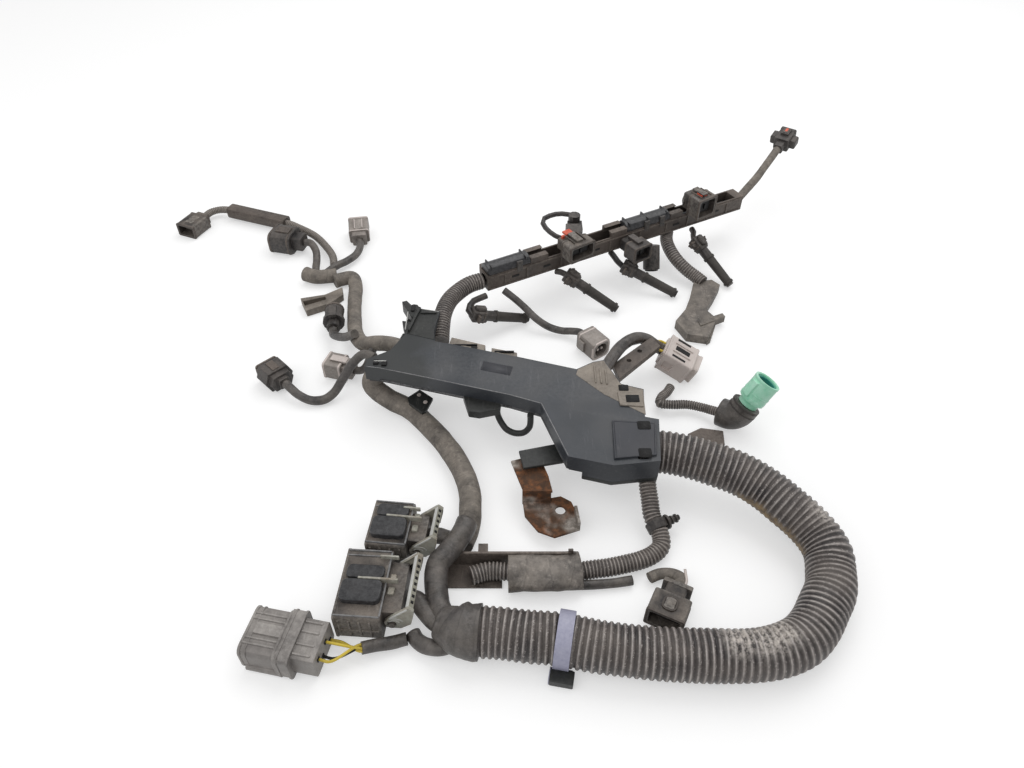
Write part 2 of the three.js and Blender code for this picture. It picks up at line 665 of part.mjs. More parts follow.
// Plug that stands away from the viewer beside the left branches.
function uprightPlug() {
  const body = join(bar(0, 10, 18, 16, 2), bar(8, 36, 25, 19, 3), box([12, -5, 9], [30, 5, 10]));
  const mouth = bar(22, 37, 20, 14, 2);
  const core = bar(21, 28, 12, 6, 1);
  return piece("upright_plug", join(cut(body, mouth), core), "pale_plastic");
}

// Oval plug with a wide mouth.
function ovalPlug() {
  const body = join(bar(0, 14, 20, 18, 4), bar(12, 40, 34, 27, 8));
  const mouth = bar(22, 41, 28, 21, 7);
  const core = bar(21, 32, 16, 8, 2);
  return piece("oval_plug", join(cut(body, mouth), core), "black_plastic");
}

function smallLead() {
  const body = cut(cord(ROUTES.small_lead, LEAD_D, 8), room(ROUTES.upright_lead, LEAD_D, 8));
  return piece("small_lead", largest(body), "conduit");
}

// Half shell that stiffens the thin lead, with two holed ears towards the viewer.
function guideBar() {
  const ends = [ROUTES.small_lead[5], ROUTES.small_lead[7]];
  const length = 86;
  const shell = cut(bar(0, length, 17, 15, 4), rod(-1, length + 1, LEAD_D + 3, 0, 0, 10));
  const ears = join(box([6, -12, -5], [20, -7, -1]), box([36, -12, -5], [54, -7, -1]));
  const holes = join(post(13, -10, 3, -10, 10, 8), post(47, -10, 3, -10, 10, 8));
  const body = cut(join(shell, ears), holes, rod(-1, length + 1, LEAD_D + 3, 0, 0, 10));
  const direction = new THREE.Vector3(ends[1][0] - ends[0][0], ends[1][1] - ends[0][1], 0);
  return aim(piece("guide_bar", body, "brown_plastic"), new THREE.Vector3(...ends[0]), direction);
}

function smallPlug() {
  const body = join(bar(0, 8, 18, 14, 2), bar(6, 36, 27, 17, 2), box([12, -5, 8], [28, 5, 9]));
  const mouth = bar(24, 37, 22, 12, 1);
  const core = bar(23, 28, 14, 5, 1);
  return piece("small_plug", join(cut(body, mouth), core), "black_plastic");
}

// Injector rail, drawn along X and then turned

function railChannel() {
  const half = RAIL_WIDTH / 2;
  const outer = box([0, -half, 0], [RAIL_LENGTH, half, RAIL_HEIGHT]);
  const inner = box([RAIL_WALL, -half + RAIL_WALL, RAIL_WALL],
    [RAIL_LENGTH - 12, half - RAIL_WALL, RAIL_HEIGHT + 1]);
  // Saddles beside the first and the second plug, and the boss of the last lead.
  const saddles = [[54, 76], [160, 182], [244, 262]].map(([a, b]) => cut(
    box([a, -half, RAIL_HEIGHT - 1], [b, half, RAIL_HEIGHT + 6]),
    rod(a - 1, b + 1, 13, 0, RAIL_HEIGHT + 0.5, 10),
  ));
  const slots = [70, 176, 250].map((x) => box([x, -half - 1, 8], [x + 9, -half + 1, 10]));
  const tab = box([4, half - 1, 6], [14, half + 9, 17]);
  const conduitHole = rod(-1, RAIL_WALL + 1, INJECTOR_D - 4, 0, RAIL_HEIGHT / 2, 12);
  const channel = cut(join(outer, tab), inner, ...slots, conduitHole);
  return piece("rail_channel", join(channel, ...saddles), "brown_plastic");
}

// A rounded lid over part of the rail.
function railCover(name, from, to) {
  const half = RAIL_WIDTH / 2 - GAP;
  const section = [[-half, 0], [half, 0], [half, 3], [half * 0.7, 7], [half * 0.25, 9], [-half * 0.25, 9],
    [-half * 0.7, 7], [-half, 3]].map(([y, z]) => [y, z + RAIL_HEIGHT + GAP]);
  return piece(name, along(section, from, to), "black_plastic");
}

// Injector plug on the near side of the rail, its mouth towards the viewer.
function injectorPlug(name, width, height) {
  const shell = join(
    bar(0, 16, width - 8, height - 6, 2),
    bar(12, 30, width, height, 3),
    box([6, -4, height / 2 - 1], [24, 4, height / 2 + 3]),
  );
  const mouth = bar(20, 31, width - 6, height - 6, 2);
  const core = bar(19, 22.5, width - 14, 5, 1);
  return piece(name, join(cut(shell, mouth), core), "black_plastic");
}

function rail() {
  const group = new THREE.Group();
  const half = RAIL_WIDTH / 2;
  group.add(railChannel());
  group.add(railCover("rail_cover_left", 2, 54 - GAP));
  group.add(railCover("rail_cover_right", 182 + GAP, 244 - GAP));
  // First plug: a block across the rail top, mouth to the near side.
  const first = injectorPlug("injector_plug_1", 34, 20);
  aim(first, new THREE.Vector3(104, half - 12, RAIL_HEIGHT + 10.4), new THREE.Vector3(0.1, -1, 0), 0, 0);
  const second = injectorPlug("injector_plug_2", 26, 20);
  aim(second, new THREE.Vector3(181, -half - 1.4, 8), new THREE.Vector3(0.1, -1, 0), 0, 0);
  const third = injectorPlug("injector_plug_3", 29, 26);
  aim(third, new THREE.Vector3(279, half - 8, RAIL_HEIGHT + 13.4), new THREE.Vector3(0.1, -1, 0), 0, 0);
  group.add(first, second, third);
  group.position.set(-31, 64, RAIL_Z);
  group.rotation.z = THREE.MathUtils.degToRad(RAIL_TURN);
  return group;
}

// Grey cap on the first plug, with the stiff wire loop over it.
function injectorCap() {
  const loop = cord([[64, 134, 54], [50, 134, 60], [38, 145, 65], [36, 155, 68], [48, 163, 70], [62, 165, 70],
    [74, 163, 68]], 6, 8);
  const cap = join(post(73, 160, 14, 50, 72, 10), box([65, 142, 48], [82, 160, 64]),
    box([62, 121, RAIL_Z + RAIL_HEIGHT + GAP], [80, 144, 70]));
  return piece("injector_cap_1", join(loop, cap), "grey_plastic");
}

// Cylindrical plug that hangs beside the second injector plug.
function barrelPlug() {
  const body = join(rod(0, 28, 20, 0, 0, 14), rod(27, 30, 16, 0, 0, 12));
  const mesh = piece("barrel_plug", body, "black_plastic");
  return aim(mesh, new THREE.Vector3(165, 146, 39), new THREE.Vector3(0.05, -0.45, -0.85), 0, 0);
}

// Cross shaped plug on the lead beyond the rail's right end.
function lastPlug() {
  const body = join(
    bar(0, 12, 12, 12, 2),
    bar(10, 34, 20, 18, 2),
    bar(15, 27, 34, 12, 2),
    box([18, -5, 8], [30, 5, 12]),
  );
  const mouth = bar(24, 35, 15, 13, 2);
  const core = bar(23, 26.5, 8, 5, 1);
  return piece("injector_plug_4", join(cut(body, mouth), core), "black_plastic");
}

// Glow plug connector: a finned head and a long sleeve, with its own lead to the rail.
function glowPlug(name, head, tip, lead) {
  const group = join(
    bar(-4, 12, 13, 13, 3),
    box([0, -12, -2], [4, 12, 4]),
    box([-3, -3, 4], [9, 3, 11]),
    rod(10, 26, 12, 0, 0, 10),
    rod(24, GLOW_LENGTH, 9, 0, 0, 10),
  );
  const start = new THREE.Vector3(...head);
  const direction = new THREE.Vector3(...tip).sub(start).normalize();
  const frame = aim(new THREE.Object3D(), start, direction, 0, 0);
  frame.updateMatrix();
  frame.matrix.invert();
  const local = lead.map((p) => new THREE.Vector3(...p).applyMatrix4(frame.matrix).toArray());
  const wire = cord([...local, [-8, 0, 0], [2, 0, 0]], 7, 8);
  const mesh = piece(name, join(group, wire), "black_plastic");
  return aim(mesh, start, direction, 0, 0);
}

function paleLead() {
  return piece("pale_lead", cord(ROUTES.pale_lead, 8, 8), "conduit");
}

function palePlug() {
  const body = join(bar(0, 27, 23, 21.4, 3), box([4, -14, -6], [14, -10, 6]));
  const mouth = rod(16, 28, 16);
  const core = bar(15, 19, 7, 9, 1);
  return piece("pale_plug", join(cut(body, mouth), core), "pale_plastic");
}

function fuelConduit() {
  return piece("fuel_conduit", cord(ROUTES.fuel_conduit, FUEL_D), "conduit");
}

// Flat taped guide that the right branch runs in, with its side tab and its clip strip.
function flatGuide() {
  const outline = [[214, 112], [236, 116], [244, 106], [233, 84], [219, 60], [228, 44], [213, 12],
    [191, 17], [182, 40], [196, 60], [204, 80]];
  const strip = prism([[208, 30], [238, 46], [236, 52], [206, 38]], 4, 12);
  const thin = prism([[212, 10], [217, 14], [228, 42], [224, 44]], 0.2, 4);
  const body = cut(join(prism(outline, 0.2, 11), strip, thin), room(ROUTES.fuel_conduit, FUEL_D));
  return piece("flat_guide", largest(body), "cloth_tape");
}

// Wide taped lead from the trough's far corner, with the holed guide under it.
function whiteLead() {
  const guide = prism([[99, -66], [143, -24], [150, -38], [104, -86]], 36, 42);
  const holes = join(post(116, -60, 5, 30, 50, 8), post(128, -46, 5, 30, 50, 8));
  const body = cut(join(cord(ROUTES.white_lead, LEAD_D + 3), guide), holes);
  return piece("white_lead", largest(body), "cloth_tape");
}

function whitePlug() {
  const body = join(bar(2, 34, 34, 25, 3), bar(0, 6, 26, 18, 2), bar(30, 40, 26, 21, 4));
  const mouth = bar(26, 41, 20, 15, 2);
  const latch = box([6, -18, -6], [16, -15, 4]);
  const core = bar(25, 32, 12, 6, 1);
  return piece("white_plug", join(cut(body, mouth, latch), core), "pale_plastic");
}

function greenLead() {
  return piece("green_lead", cord(ROUTES.green_lead, LEAD_D, 8), "conduit");
}

// Bent rubber boot behind the green plug.
function greenBoot() {
  const body = cut(cord(ROUTES.boot, 28, 12), box([150, -150, -20], [280, -50, 0.2]),
    room(ROUTES.green_lead, LEAD_D, 8));
  return piece("green_boot", largest(body), "rubber");
}

function greenPlug() {
  const body = join(rod(0, 8, 20, 0, 0, 14), rod(6, 30, 26, 0, 0, 16), box([10, -4, 11], [26, 4, 15]));
  const mouth = rod(17, 31, 21, 0, 0, 14);
  const core = rod(16, 22, 11, 0, 0, 10);
  return piece("green_plug", join(cut(body, mouth), core), "green_plastic");
}

// Flat brown clip that shows behind the wide conduit.
function brownClip() {
  const body = prism([[168, -128], [182, -120], [203, -124], [201, -142], [176, -140]], 4, 9);
  return piece("brown_clip", cut(body, conduitRoom()), "brown_plastic");
}

// Assembly

function harness() {
  const layout = new THREE.Group();
  layout.add(troughBase(), troughCover(), troughLoop());
  layout.add(bracketArm(), steelBracket(), plateClip());
  layout.add(mainConduit(), conduitBand());
  layout.add(piece("injector_conduit", cord(ROUTES.injector_conduit, INJECTOR_D), "conduit"));
  layout.add(ecuTrunk(), ecuBundle());
  layout.add(ecuConnector("a", 33, 45, -84, -248, -6));
  layout.add(ecuConnector("b", 36, 62, -97, -304, -4));
  const grey = aim(greyPlug(), new THREE.Vector3(-140, -349.5, 13.7), new THREE.Vector3(-0.98, 0.2, 0));
  layout.add(grey, greyLead(grey));
  layout.add(lowerConduit(), channelGuide(), lowerTape(), lowerLead());
  layout.add(atEnd(lowerPlug(), ROUTES.lower_lead), pushClip());
  layout.add(leftTrunk(), leftJunction(), taupeClip(), roundLead());
  layout.add(atEnd(roundPlug(), ROUTES.round_lead), squarePlug(), sensorLead());
  layout.add(atEnd(sensorPlug(), ROUTES.sensor_lead));
  layout.add(atEnd(uprightPlug(), ROUTES.upright_lead), atEnd(ovalPlug(), ROUTES.oval_lead));
  layout.add(smallLead(), guideBar(), atEnd(smallPlug(), ROUTES.small_lead));
  layout.add(rail(), injectorCap(), barrelPlug());
  layout.add(piece("injector_lead_4", cord(ROUTES.injector_lead_4, LEAD_D + 1, 8), "conduit"));
  layout.add(atEnd(lastPlug(), ROUTES.injector_lead_4));
  layout.add(glowPlug("glow_plug_1", [65, 90, 34], [120, 66, 6], [[50, 98, 36]]));
  layout.add(glowPlug("glow_plug_2", [134, 119, 26], [190, 96, 6], [[116, 137, 36], [121, 129, 33]]));
  layout.add(glowPlug("glow_plug_3", [222, 160, 34], [257, 116, 6], [[220, 186, 36], [221, 176, 36]]));
  layout.add(glowPlug("glow_plug_4", [-39, 26, 30], [18, 50, 6], [[-28, 50, 38], [-44, 40, 36]]));
  layout.add(paleLead(), atEnd(palePlug(), ROUTES.pale_lead));
  layout.add(fuelConduit(), flatGuide());
  layout.add(whiteLead(), atEnd(whitePlug(), ROUTES.white_lead));
  layout.add(greenLead(), greenBoot(), atEnd(greenPlug(), ROUTES.boot), brownClip());
  layout.position.set(-CENTRE[0], -CENTRE[1], 0);
  const part = new THREE.Group();
  part.add(layout);
  return part;
}

export default harness();
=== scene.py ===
# %% [markdown]
# # An engine wiring harness
# A moulded cable trough with its branches, laid out on a white floor: a wide corrugated conduit,
# taped trunks, a rail with its injector plugs, and a plug on the end of every lead.
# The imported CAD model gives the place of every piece, and each piece gets its finish here.
#
# The lesson goes from the outside in: camera and light, the finishes, the cords, the moulded pieces,
# then the small forms that sit on them. Places are written in millimetres of the laid out harness,
# because that is how it would be measured on a bench, and are turned into metres only when a mesh is made.

# %% Load the frame
import json
import math

import bmesh
import bpy
import numpy as np
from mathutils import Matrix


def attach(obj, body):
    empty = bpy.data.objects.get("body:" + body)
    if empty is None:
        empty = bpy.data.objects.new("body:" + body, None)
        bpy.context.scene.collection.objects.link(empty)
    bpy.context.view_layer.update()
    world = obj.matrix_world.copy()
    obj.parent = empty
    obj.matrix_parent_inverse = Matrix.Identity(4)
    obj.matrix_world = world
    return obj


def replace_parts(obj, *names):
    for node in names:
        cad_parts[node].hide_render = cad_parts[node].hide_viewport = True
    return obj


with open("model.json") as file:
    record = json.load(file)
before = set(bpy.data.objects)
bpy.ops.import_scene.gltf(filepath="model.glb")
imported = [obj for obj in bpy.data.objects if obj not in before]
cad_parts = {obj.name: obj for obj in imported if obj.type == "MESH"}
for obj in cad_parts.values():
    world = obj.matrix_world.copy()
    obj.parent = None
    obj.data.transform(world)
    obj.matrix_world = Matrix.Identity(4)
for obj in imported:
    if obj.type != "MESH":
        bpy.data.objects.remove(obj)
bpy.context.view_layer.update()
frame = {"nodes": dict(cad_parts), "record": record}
nodes = frame["nodes"]
print("CAD nodes:", len(nodes))

# %% [markdown]
# ## Camera
# The harness was photographed from the front and above with a wide lens, about 0.83 m away. A long lens
# from further off would flatten it, so the near conduit would look too thin beside the far rail. The
# camera's place, tilt and lens were fitted together until the ends of the branches fell where the
# photograph has them. The view transform is Standard, so that a colour renders about as it is written.

# %% Camera
MM = 0.001
SHIFT = np.array([27.0, 14.0, 0.0])  # from layout millimetres to the part's own frame
CAMERA_PLACE = (0.027, -0.613, 0.557)
CAMERA_TILT = 46  # degrees up from looking straight down
CAMERA_LENS, SENSOR_WIDTH = 27.18, 36  # millimetres

camera_data = bpy.data.cameras.new("camera")
camera_data.sensor_width = SENSOR_WIDTH
camera_data.lens = CAMERA_LENS
camera = bpy.data.objects.new("camera", camera_data)
camera.location = CAMERA_PLACE
camera.rotation_euler = (math.radians(CAMERA_TILT), 0, 0)
bpy.context.scene.collection.objects.link(camera)
bpy.context.scene.camera = camera
bpy.context.scene.view_settings.view_transform = "Standard"
print("camera to the middle of the part:", round(math.dist(CAMERA_PLACE, (0, 0, 0)), 3), "m")

# %% [markdown]
# ## Light
# The photograph has soft shadows that fall towards the viewer, as from a bright ceiling behind the
# harness. One large square lamp behind and above gives them, and a weaker one at the front left keeps the
# near sides from going black. Small lamps would draw hard shadows, and a brighter world would wash the
# dark plastics out, so the world stays at a middling white.


# %% Light
def soft_lamp(name, place, aim, size, power):
    """A square area lamp at a place, turned so that it faces a point: size in metres, power in watts."""
    data = bpy.data.lights.new(name, "AREA")
    data.size = size
    data.energy = power
    lamp = bpy.data.objects.new(name, data)
    lamp.location = place
    way = np.array(aim, float) - np.array(place, float)
    across = math.hypot(way[0], way[1])
    lamp.rotation_euler = (math.atan2(across, -way[2]), 0, math.atan2(way[1], way[0]) - math.pi / 2)
    bpy.context.scene.collection.objects.link(lamp)
    print(name, "at", place, "power", power)


WORLD_STRENGTH = 0.6
soft_lamp("key lamp", place=(0.45, 0.75, 1.55), aim=(0.05, -0.05, 0), size=1.3, power=11)
soft_lamp("fill lamp", place=(-0.9, -0.7, 1.4), aim=(0, 0, 0), size=1.4, power=6)
world = bpy.data.worlds.new("white room")
world.use_nodes = True
world.node_tree.nodes["Background"].inputs["Color"].default_value = (1, 1, 1, 1)
world.node_tree.nodes["Background"].inputs["Strength"].default_value = WORLD_STRENGTH
bpy.context.scene.world = world

# %% [markdown]
# ## Floor
# The ground in the photograph is pure white, yet it takes the shadows. A white floor under more light
# would do that and bleach the harness as well. Here the floor is a light grey that glows a little, but
# only for the camera and for what mirrors or lets through the camera's rays: the ground reads as white,
# and the harness is lit by the grey alone.

# %% Floor
FLOOR_GREY = 0.62    # what the harness is lit by
FLOOR_GLOW = 0.46    # what the camera sees on top of it
FLOOR_DROP = 0.0003  # below the feet of the harness, so that no two faces coincide
FLOOR_SIDE, FLOOR_BACK = 6, 12


def new_material(name):
    """An empty node material with its Principled shader, and the tree it stands in."""
    material = bpy.data.materials.new(name)
    material.use_nodes = True
    tree = material.node_tree
    return material, tree, tree.nodes["Principled BSDF"]


floor_material, tree, shader = new_material("white floor")
shader.inputs["Base Color"].default_value = (FLOOR_GREY, FLOOR_GREY, FLOOR_GREY, 1)
shader.inputs["Roughness"].default_value = 0.9
shader.inputs["Specular IOR Level"].default_value = 0.1
path_info = tree.nodes.new("ShaderNodeLightPath")
seen = path_info.outputs["Is Camera Ray"]
for kind in ("Is Glossy Ray", "Is Transmission Ray"):
    either = tree.nodes.new("ShaderNodeMath")
    either.operation = "MAXIMUM"
    tree.links.new(seen, either.inputs[0])
    tree.links.new(path_info.outputs[kind], either.inputs[1])
    seen = either.outputs[0]
glow = tree.nodes.new("ShaderNodeMath")
glow.operation = "MULTIPLY"
glow.inputs[1].default_value = FLOOR_GLOW
tree.links.new(seen, glow.inputs[0])
tree.links.new(glow.outputs[0], shader.inputs["Emission Strength"])
shader.inputs["Emission Color"].default_value = (1, 1, 1, 1)

floor_mesh = bpy.data.meshes.new("floor")
floor_mesh.from_pydata([(-FLOOR_SIDE, -FLOOR_SIDE, -FLOOR_DROP), (FLOOR_SIDE, -FLOOR_SIDE, -FLOOR_DROP),
    (FLOOR_SIDE, FLOOR_BACK, -FLOOR_DROP), (-FLOOR_SIDE, FLOOR_BACK, -FLOOR_DROP)], [], [(0, 1, 2, 3)])
floor_mesh.materials.append(floor_material)
floor = bpy.data.objects.new("floor", floor_mesh)
bpy.context.scene.collection.objects.link(floor)
print("floor:", 2 * FLOOR_SIDE, "by", FLOOR_SIDE + FLOOR_BACK, "m")


# %% [markdown]
# ## Shared effects
# Every piece of the harness has lain under a bonnet for years, so the same few effects come back: a film
# of pale dust, moulded grain, and edges that have been rubbed bright. Painting each piece would take a
# texture for every one. A node group does it once for all of them, because each material sets its own
# values on the group's sockets. The helpers below only shorten the calls that add and link nodes.

# %% Node helpers
def make(tree, kind, **inputs):
    """A node of that kind with its named inputs set."""
    node = tree.nodes.new(kind)
    for key, value in inputs.items():
        node.inputs[key.replace("_", " ")].default_value = value
    return node


def math_node(tree, operation, a, b):
    """A Math node whose two inputs are sockets or numbers."""
    node = tree.nodes.new("ShaderNodeMath")
    node.operation = operation
    for socket, value in ((node.inputs[0], a), (node.inputs[1], b)):
        if isinstance(value, (int, float)):
            socket.default_value = value
        else:
            tree.links.new(value, socket)
    return node.outputs[0]


def span(tree, value, low, high, out_low=0.0, out_high=1.0):
    """A value stretched from low..high to out_low..out_high and kept inside."""
    node = tree.nodes.new("ShaderNodeMapRange")
    node.clamp = True
    for key, number in (("From Min", low), ("From Max", high), ("To Min", out_low), ("To Max", out_high)):
        node.inputs[key].default_value = number
    tree.links.new(value, node.inputs["Value"])
    return node.outputs["Result"]


def blend(tree, factor, a, b):
    """A colour mix of two sockets or colours: a where the factor is 0, b where it is 1."""
    node = tree.nodes.new("ShaderNodeMix")
    node.data_type = "RGBA"
    for socket, value in ((node.inputs[0], factor), (node.inputs[6], a), (node.inputs[7], b)):
        if isinstance(value, (int, float, tuple)):
            socket.default_value = value if isinstance(value, (int, float)) else (*value[:3], 1)
        else:
            tree.links.new(value, socket)
    return node.outputs[2]


def noise(tree, scale, detail=4.0, roughness=0.6, stretch=None):
    """Noise on Object coordinates, in cycles per metre; stretch scales x, y and z before it is read."""
    place = tree.nodes.new("ShaderNodeTexCoord").outputs["Object"]
    if stretch:
        mapping = tree.nodes.new("ShaderNodeMapping")
        mapping.inputs["Scale"].default_value = stretch
        tree.links.new(place, mapping.inputs["Vector"])
        place = mapping.outputs["Vector"]
    node = make(tree, "ShaderNodeTexNoise", Detail=detail, Roughness=roughness)
    if isinstance(scale, (int, float)):
        node.inputs["Scale"].default_value = scale
    else:
        tree.links.new(scale, node.inputs["Scale"])
    tree.links.new(place, node.inputs["Vector"])
    return node.outputs["Fac"]


def group(name, inputs, outputs):
    """A shader node group with named sockets, and its two end nodes.
    inputs are (name, socket type, value) and outputs are (name, socket type)."""
    tree = bpy.data.node_groups.new(name, "ShaderNodeTree")
    for key, kind, value in inputs:
        socket = tree.interface.new_socket(key, in_out="INPUT", socket_type=kind)
        socket.default_value = value
    for key, kind in outputs:
        tree.interface.new_socket(key, in_out="OUTPUT", socket_type=kind)
    return tree, tree.nodes.new("NodeGroupInput"), tree.nodes.new("NodeGroupOutput")


def place_group(tree, shared, **inputs):
    """A shared group set into a material with its own values."""
    node = tree.nodes.new("ShaderNodeGroup")
    node.node_tree = shared
    for key, value in inputs.items():
        node.inputs[key].default_value = value
    return node


def srgb(*values):
    """A colour written as the 0 to 255 values of a picture, in linear light."""
    scaled = np.array(values, float) / 255
    linear = np.where(scaled <= 0.04045, scaled / 12.92, ((scaled + 0.055) / 1.055) ** 2.4)
    return (*[float(v) for v in linear], 1.0)


COLOUR, FLOAT = "NodeSocketColor", "NodeSocketFloat"
print("node helpers ready")

# %% [markdown]
# ### Dust film
# Road dust settles on the upper faces of the real harness and is wiped away in patches. Two noises of
# the same size, one smooth and one ragged, are mixed by the Speckle value: smooth plastics keep wide even
# patches, rough ones are speckled. The mask is the patches, times a fine mottling, times how far the
# surface looks up, times the amount.

# %% Dust film
DUST, inlet, outlet = group("dust film",
    [("Base", COLOUR, (0.1, 0.1, 0.1, 1)), ("Dust", COLOUR, (0.4, 0.37, 0.33, 1)), ("Amount", FLOAT, 0.5),
        ("Scale", FLOAT, 30.0), ("Upward", FLOAT, 0.5), ("Speckle", FLOAT, 1.0)],
    [("Color", COLOUR), ("Mask", FLOAT)])
coarse = span(DUST, noise(DUST, inlet.outputs["Scale"], 1.5, 0.5), 0.36, 0.66)
ragged = span(DUST, noise(DUST, inlet.outputs["Scale"], 5.0, 0.62), 0.36, 0.66)
speckle = inlet.outputs["Speckle"]
smooth = math_node(DUST, "SUBTRACT", 1.0, speckle)
patches = math_node(DUST, "ADD", math_node(DUST, "MULTIPLY", coarse, smooth),
    math_node(DUST, "MULTIPLY", ragged, speckle))
mottling = span(DUST, noise(DUST, 900.0, 3.0, 0.7), 0.3, 0.7, 0.55, 1.0)
fine = math_node(DUST, "ADD", math_node(DUST, "MULTIPLY", mottling, speckle),
    math_node(DUST, "MULTIPLY", smooth, 0.9))
geometry = DUST.nodes.new("ShaderNodeNewGeometry")
parts = DUST.nodes.new("ShaderNodeSeparateXYZ")
DUST.links.new(geometry.outputs["Normal"], parts.inputs[0])
up = span(DUST, parts.outputs["Z"], -0.3, 0.9)
lift = math_node(DUST, "ADD", math_node(DUST, "MULTIPLY", up, inlet.outputs["Upward"]),
    math_node(DUST, "SUBTRACT", 1.0, inlet.outputs["Upward"]))
mask = math_node(DUST, "MULTIPLY", math_node(DUST, "MULTIPLY", patches, fine), lift)
mask = math_node(DUST, "MULTIPLY", mask, inlet.outputs["Amount"])
DUST.links.new(mask, outlet.inputs["Mask"])
DUST.links.new(blend(DUST, mask, inlet.outputs["Base"], inlet.outputs["Dust"]), outlet.inputs["Color"])

# %% [markdown]
# ### Moulded grain
# The mould leaves a fine grain, and handling leaves long faint scratches. Both are a height for a Bump
# node: fine noise, less a noise that is stretched along y. Modelling them would take millions of faces.

# %% Moulded grain
GRAIN, inlet, outlet = group("moulded grain", [("Scratches", FLOAT, 0.3)],
    [("Height", FLOAT), ("Mask", FLOAT)])
grit = noise(GRAIN, 2200.0, 3.0, 0.6)
lines = span(GRAIN, noise(GRAIN, 260.0, 5.0, 0.75, (1.0, 0.12, 1.0)), 0.58, 0.7)
lines = math_node(GRAIN, "MULTIPLY", lines, inlet.outputs["Scratches"])
GRAIN.links.new(math_node(GRAIN, "SUBTRACT", grit, lines), outlet.inputs["Height"])
GRAIN.links.new(lines, outlet.inputs["Mask"])

# %% [markdown]
# ### Rubbed edges
# Corners that stick out lose their dark skin first. Pointiness says how far a place of the mesh sticks
# out, and noise breaks the line up, so the wear isn't an even outline.

# %% Rubbed edges
EDGES, inlet, outlet = group("rubbed edges", [("Amount", FLOAT, 0.5)], [("Mask", FLOAT)])
geometry = EDGES.nodes.new("ShaderNodeNewGeometry")
sharp = span(EDGES, geometry.outputs["Pointiness"], 0.52, 0.62)
broken = span(EDGES, noise(EDGES, 320.0, 5.0, 0.7), 0.35, 0.62)
rub = math_node(EDGES, "MULTIPLY", math_node(EDGES, "MULTIPLY", sharp, broken), inlet.outputs["Amount"])
EDGES.links.new(rub, outlet.inputs["Mask"])
print("shared effects:", [g.name for g in (DUST, GRAIN, EDGES)])


# %% [markdown]
# ## Moulded plastic
# Most pieces are moulded plastic, from the black of the plugs to the mint of the round one. One recipe
# makes them all, so they look like parts of one harness: a base colour that drifts a little, rubbed
# edges, the dust film over them, scratches, and the grain as bump. Only the colours and amounts differ.

# %% Moulded plastic
def plastic(name, base, dust=(150, 140, 130), amount=0.45, scale=28.0, rough=0.5, worn=(150, 145, 140),
        wear=0.35, drift=None, speckle=1.0):
    """Base colour, then rubbed edges, then dust; the dust is rougher than the plastic.
    drift is (from x, to x, colour): between those places the colour takes over, broken up by noise."""
    material, tree, shader = new_material(name)
    base = srgb(*base)
    tone = span(tree, noise(tree, 14.0, 3.0, 0.5), 0.3, 0.7)
    shade = blend(tree, tone, tuple(0.78 * v for v in base[:3]), tuple(1.18 * v for v in base[:3]))
    edges = place_group(tree, EDGES, Amount=wear)
    rubbed = blend(tree, edges.outputs["Mask"], shade, srgb(*worn)[:3])
    film = place_group(tree, DUST, Dust=srgb(*dust), Amount=amount, Scale=scale, Upward=0.5,
        Speckle=speckle)
    tree.links.new(rubbed, film.inputs["Base"])
    grain = place_group(tree, GRAIN, Scratches=0.35)
    marked = blend(tree, math_node(tree, "MULTIPLY", grain.outputs["Mask"], 0.5), film.outputs["Color"],
        srgb(*worn)[:3])
    if drift:
        places = tree.nodes.new("ShaderNodeSeparateXYZ")
        tree.links.new(tree.nodes.new("ShaderNodeTexCoord").outputs["Object"], places.inputs[0])
        ragged = span(tree, noise(tree, 30.0, 5.0, 0.65), 0, 1, -0.03, 0.03)
        far = math_node(tree, "ADD", places.outputs["X"], ragged)
        marked = blend(tree, span(tree, far, drift[0], drift[1], 0.0, 0.7), marked, srgb(*drift[2])[:3])
    tree.links.new(marked, shader.inputs["Base Color"])
    tree.links.new(span(tree, film.outputs["Mask"], 0.0, 0.8, rough, min(1.0, rough + 0.3)),
        shader.inputs["Roughness"])
    relief = make(tree, "ShaderNodeBump", Strength=0.25, Distance=0.0004)
    tree.links.new(grain.outputs["Height"], relief.inputs["Height"])
    tree.links.new(relief.outputs["Normal"], shader.inputs["Normal"])
    shader.inputs["Specular IOR Level"].default_value = 0.4
    return material
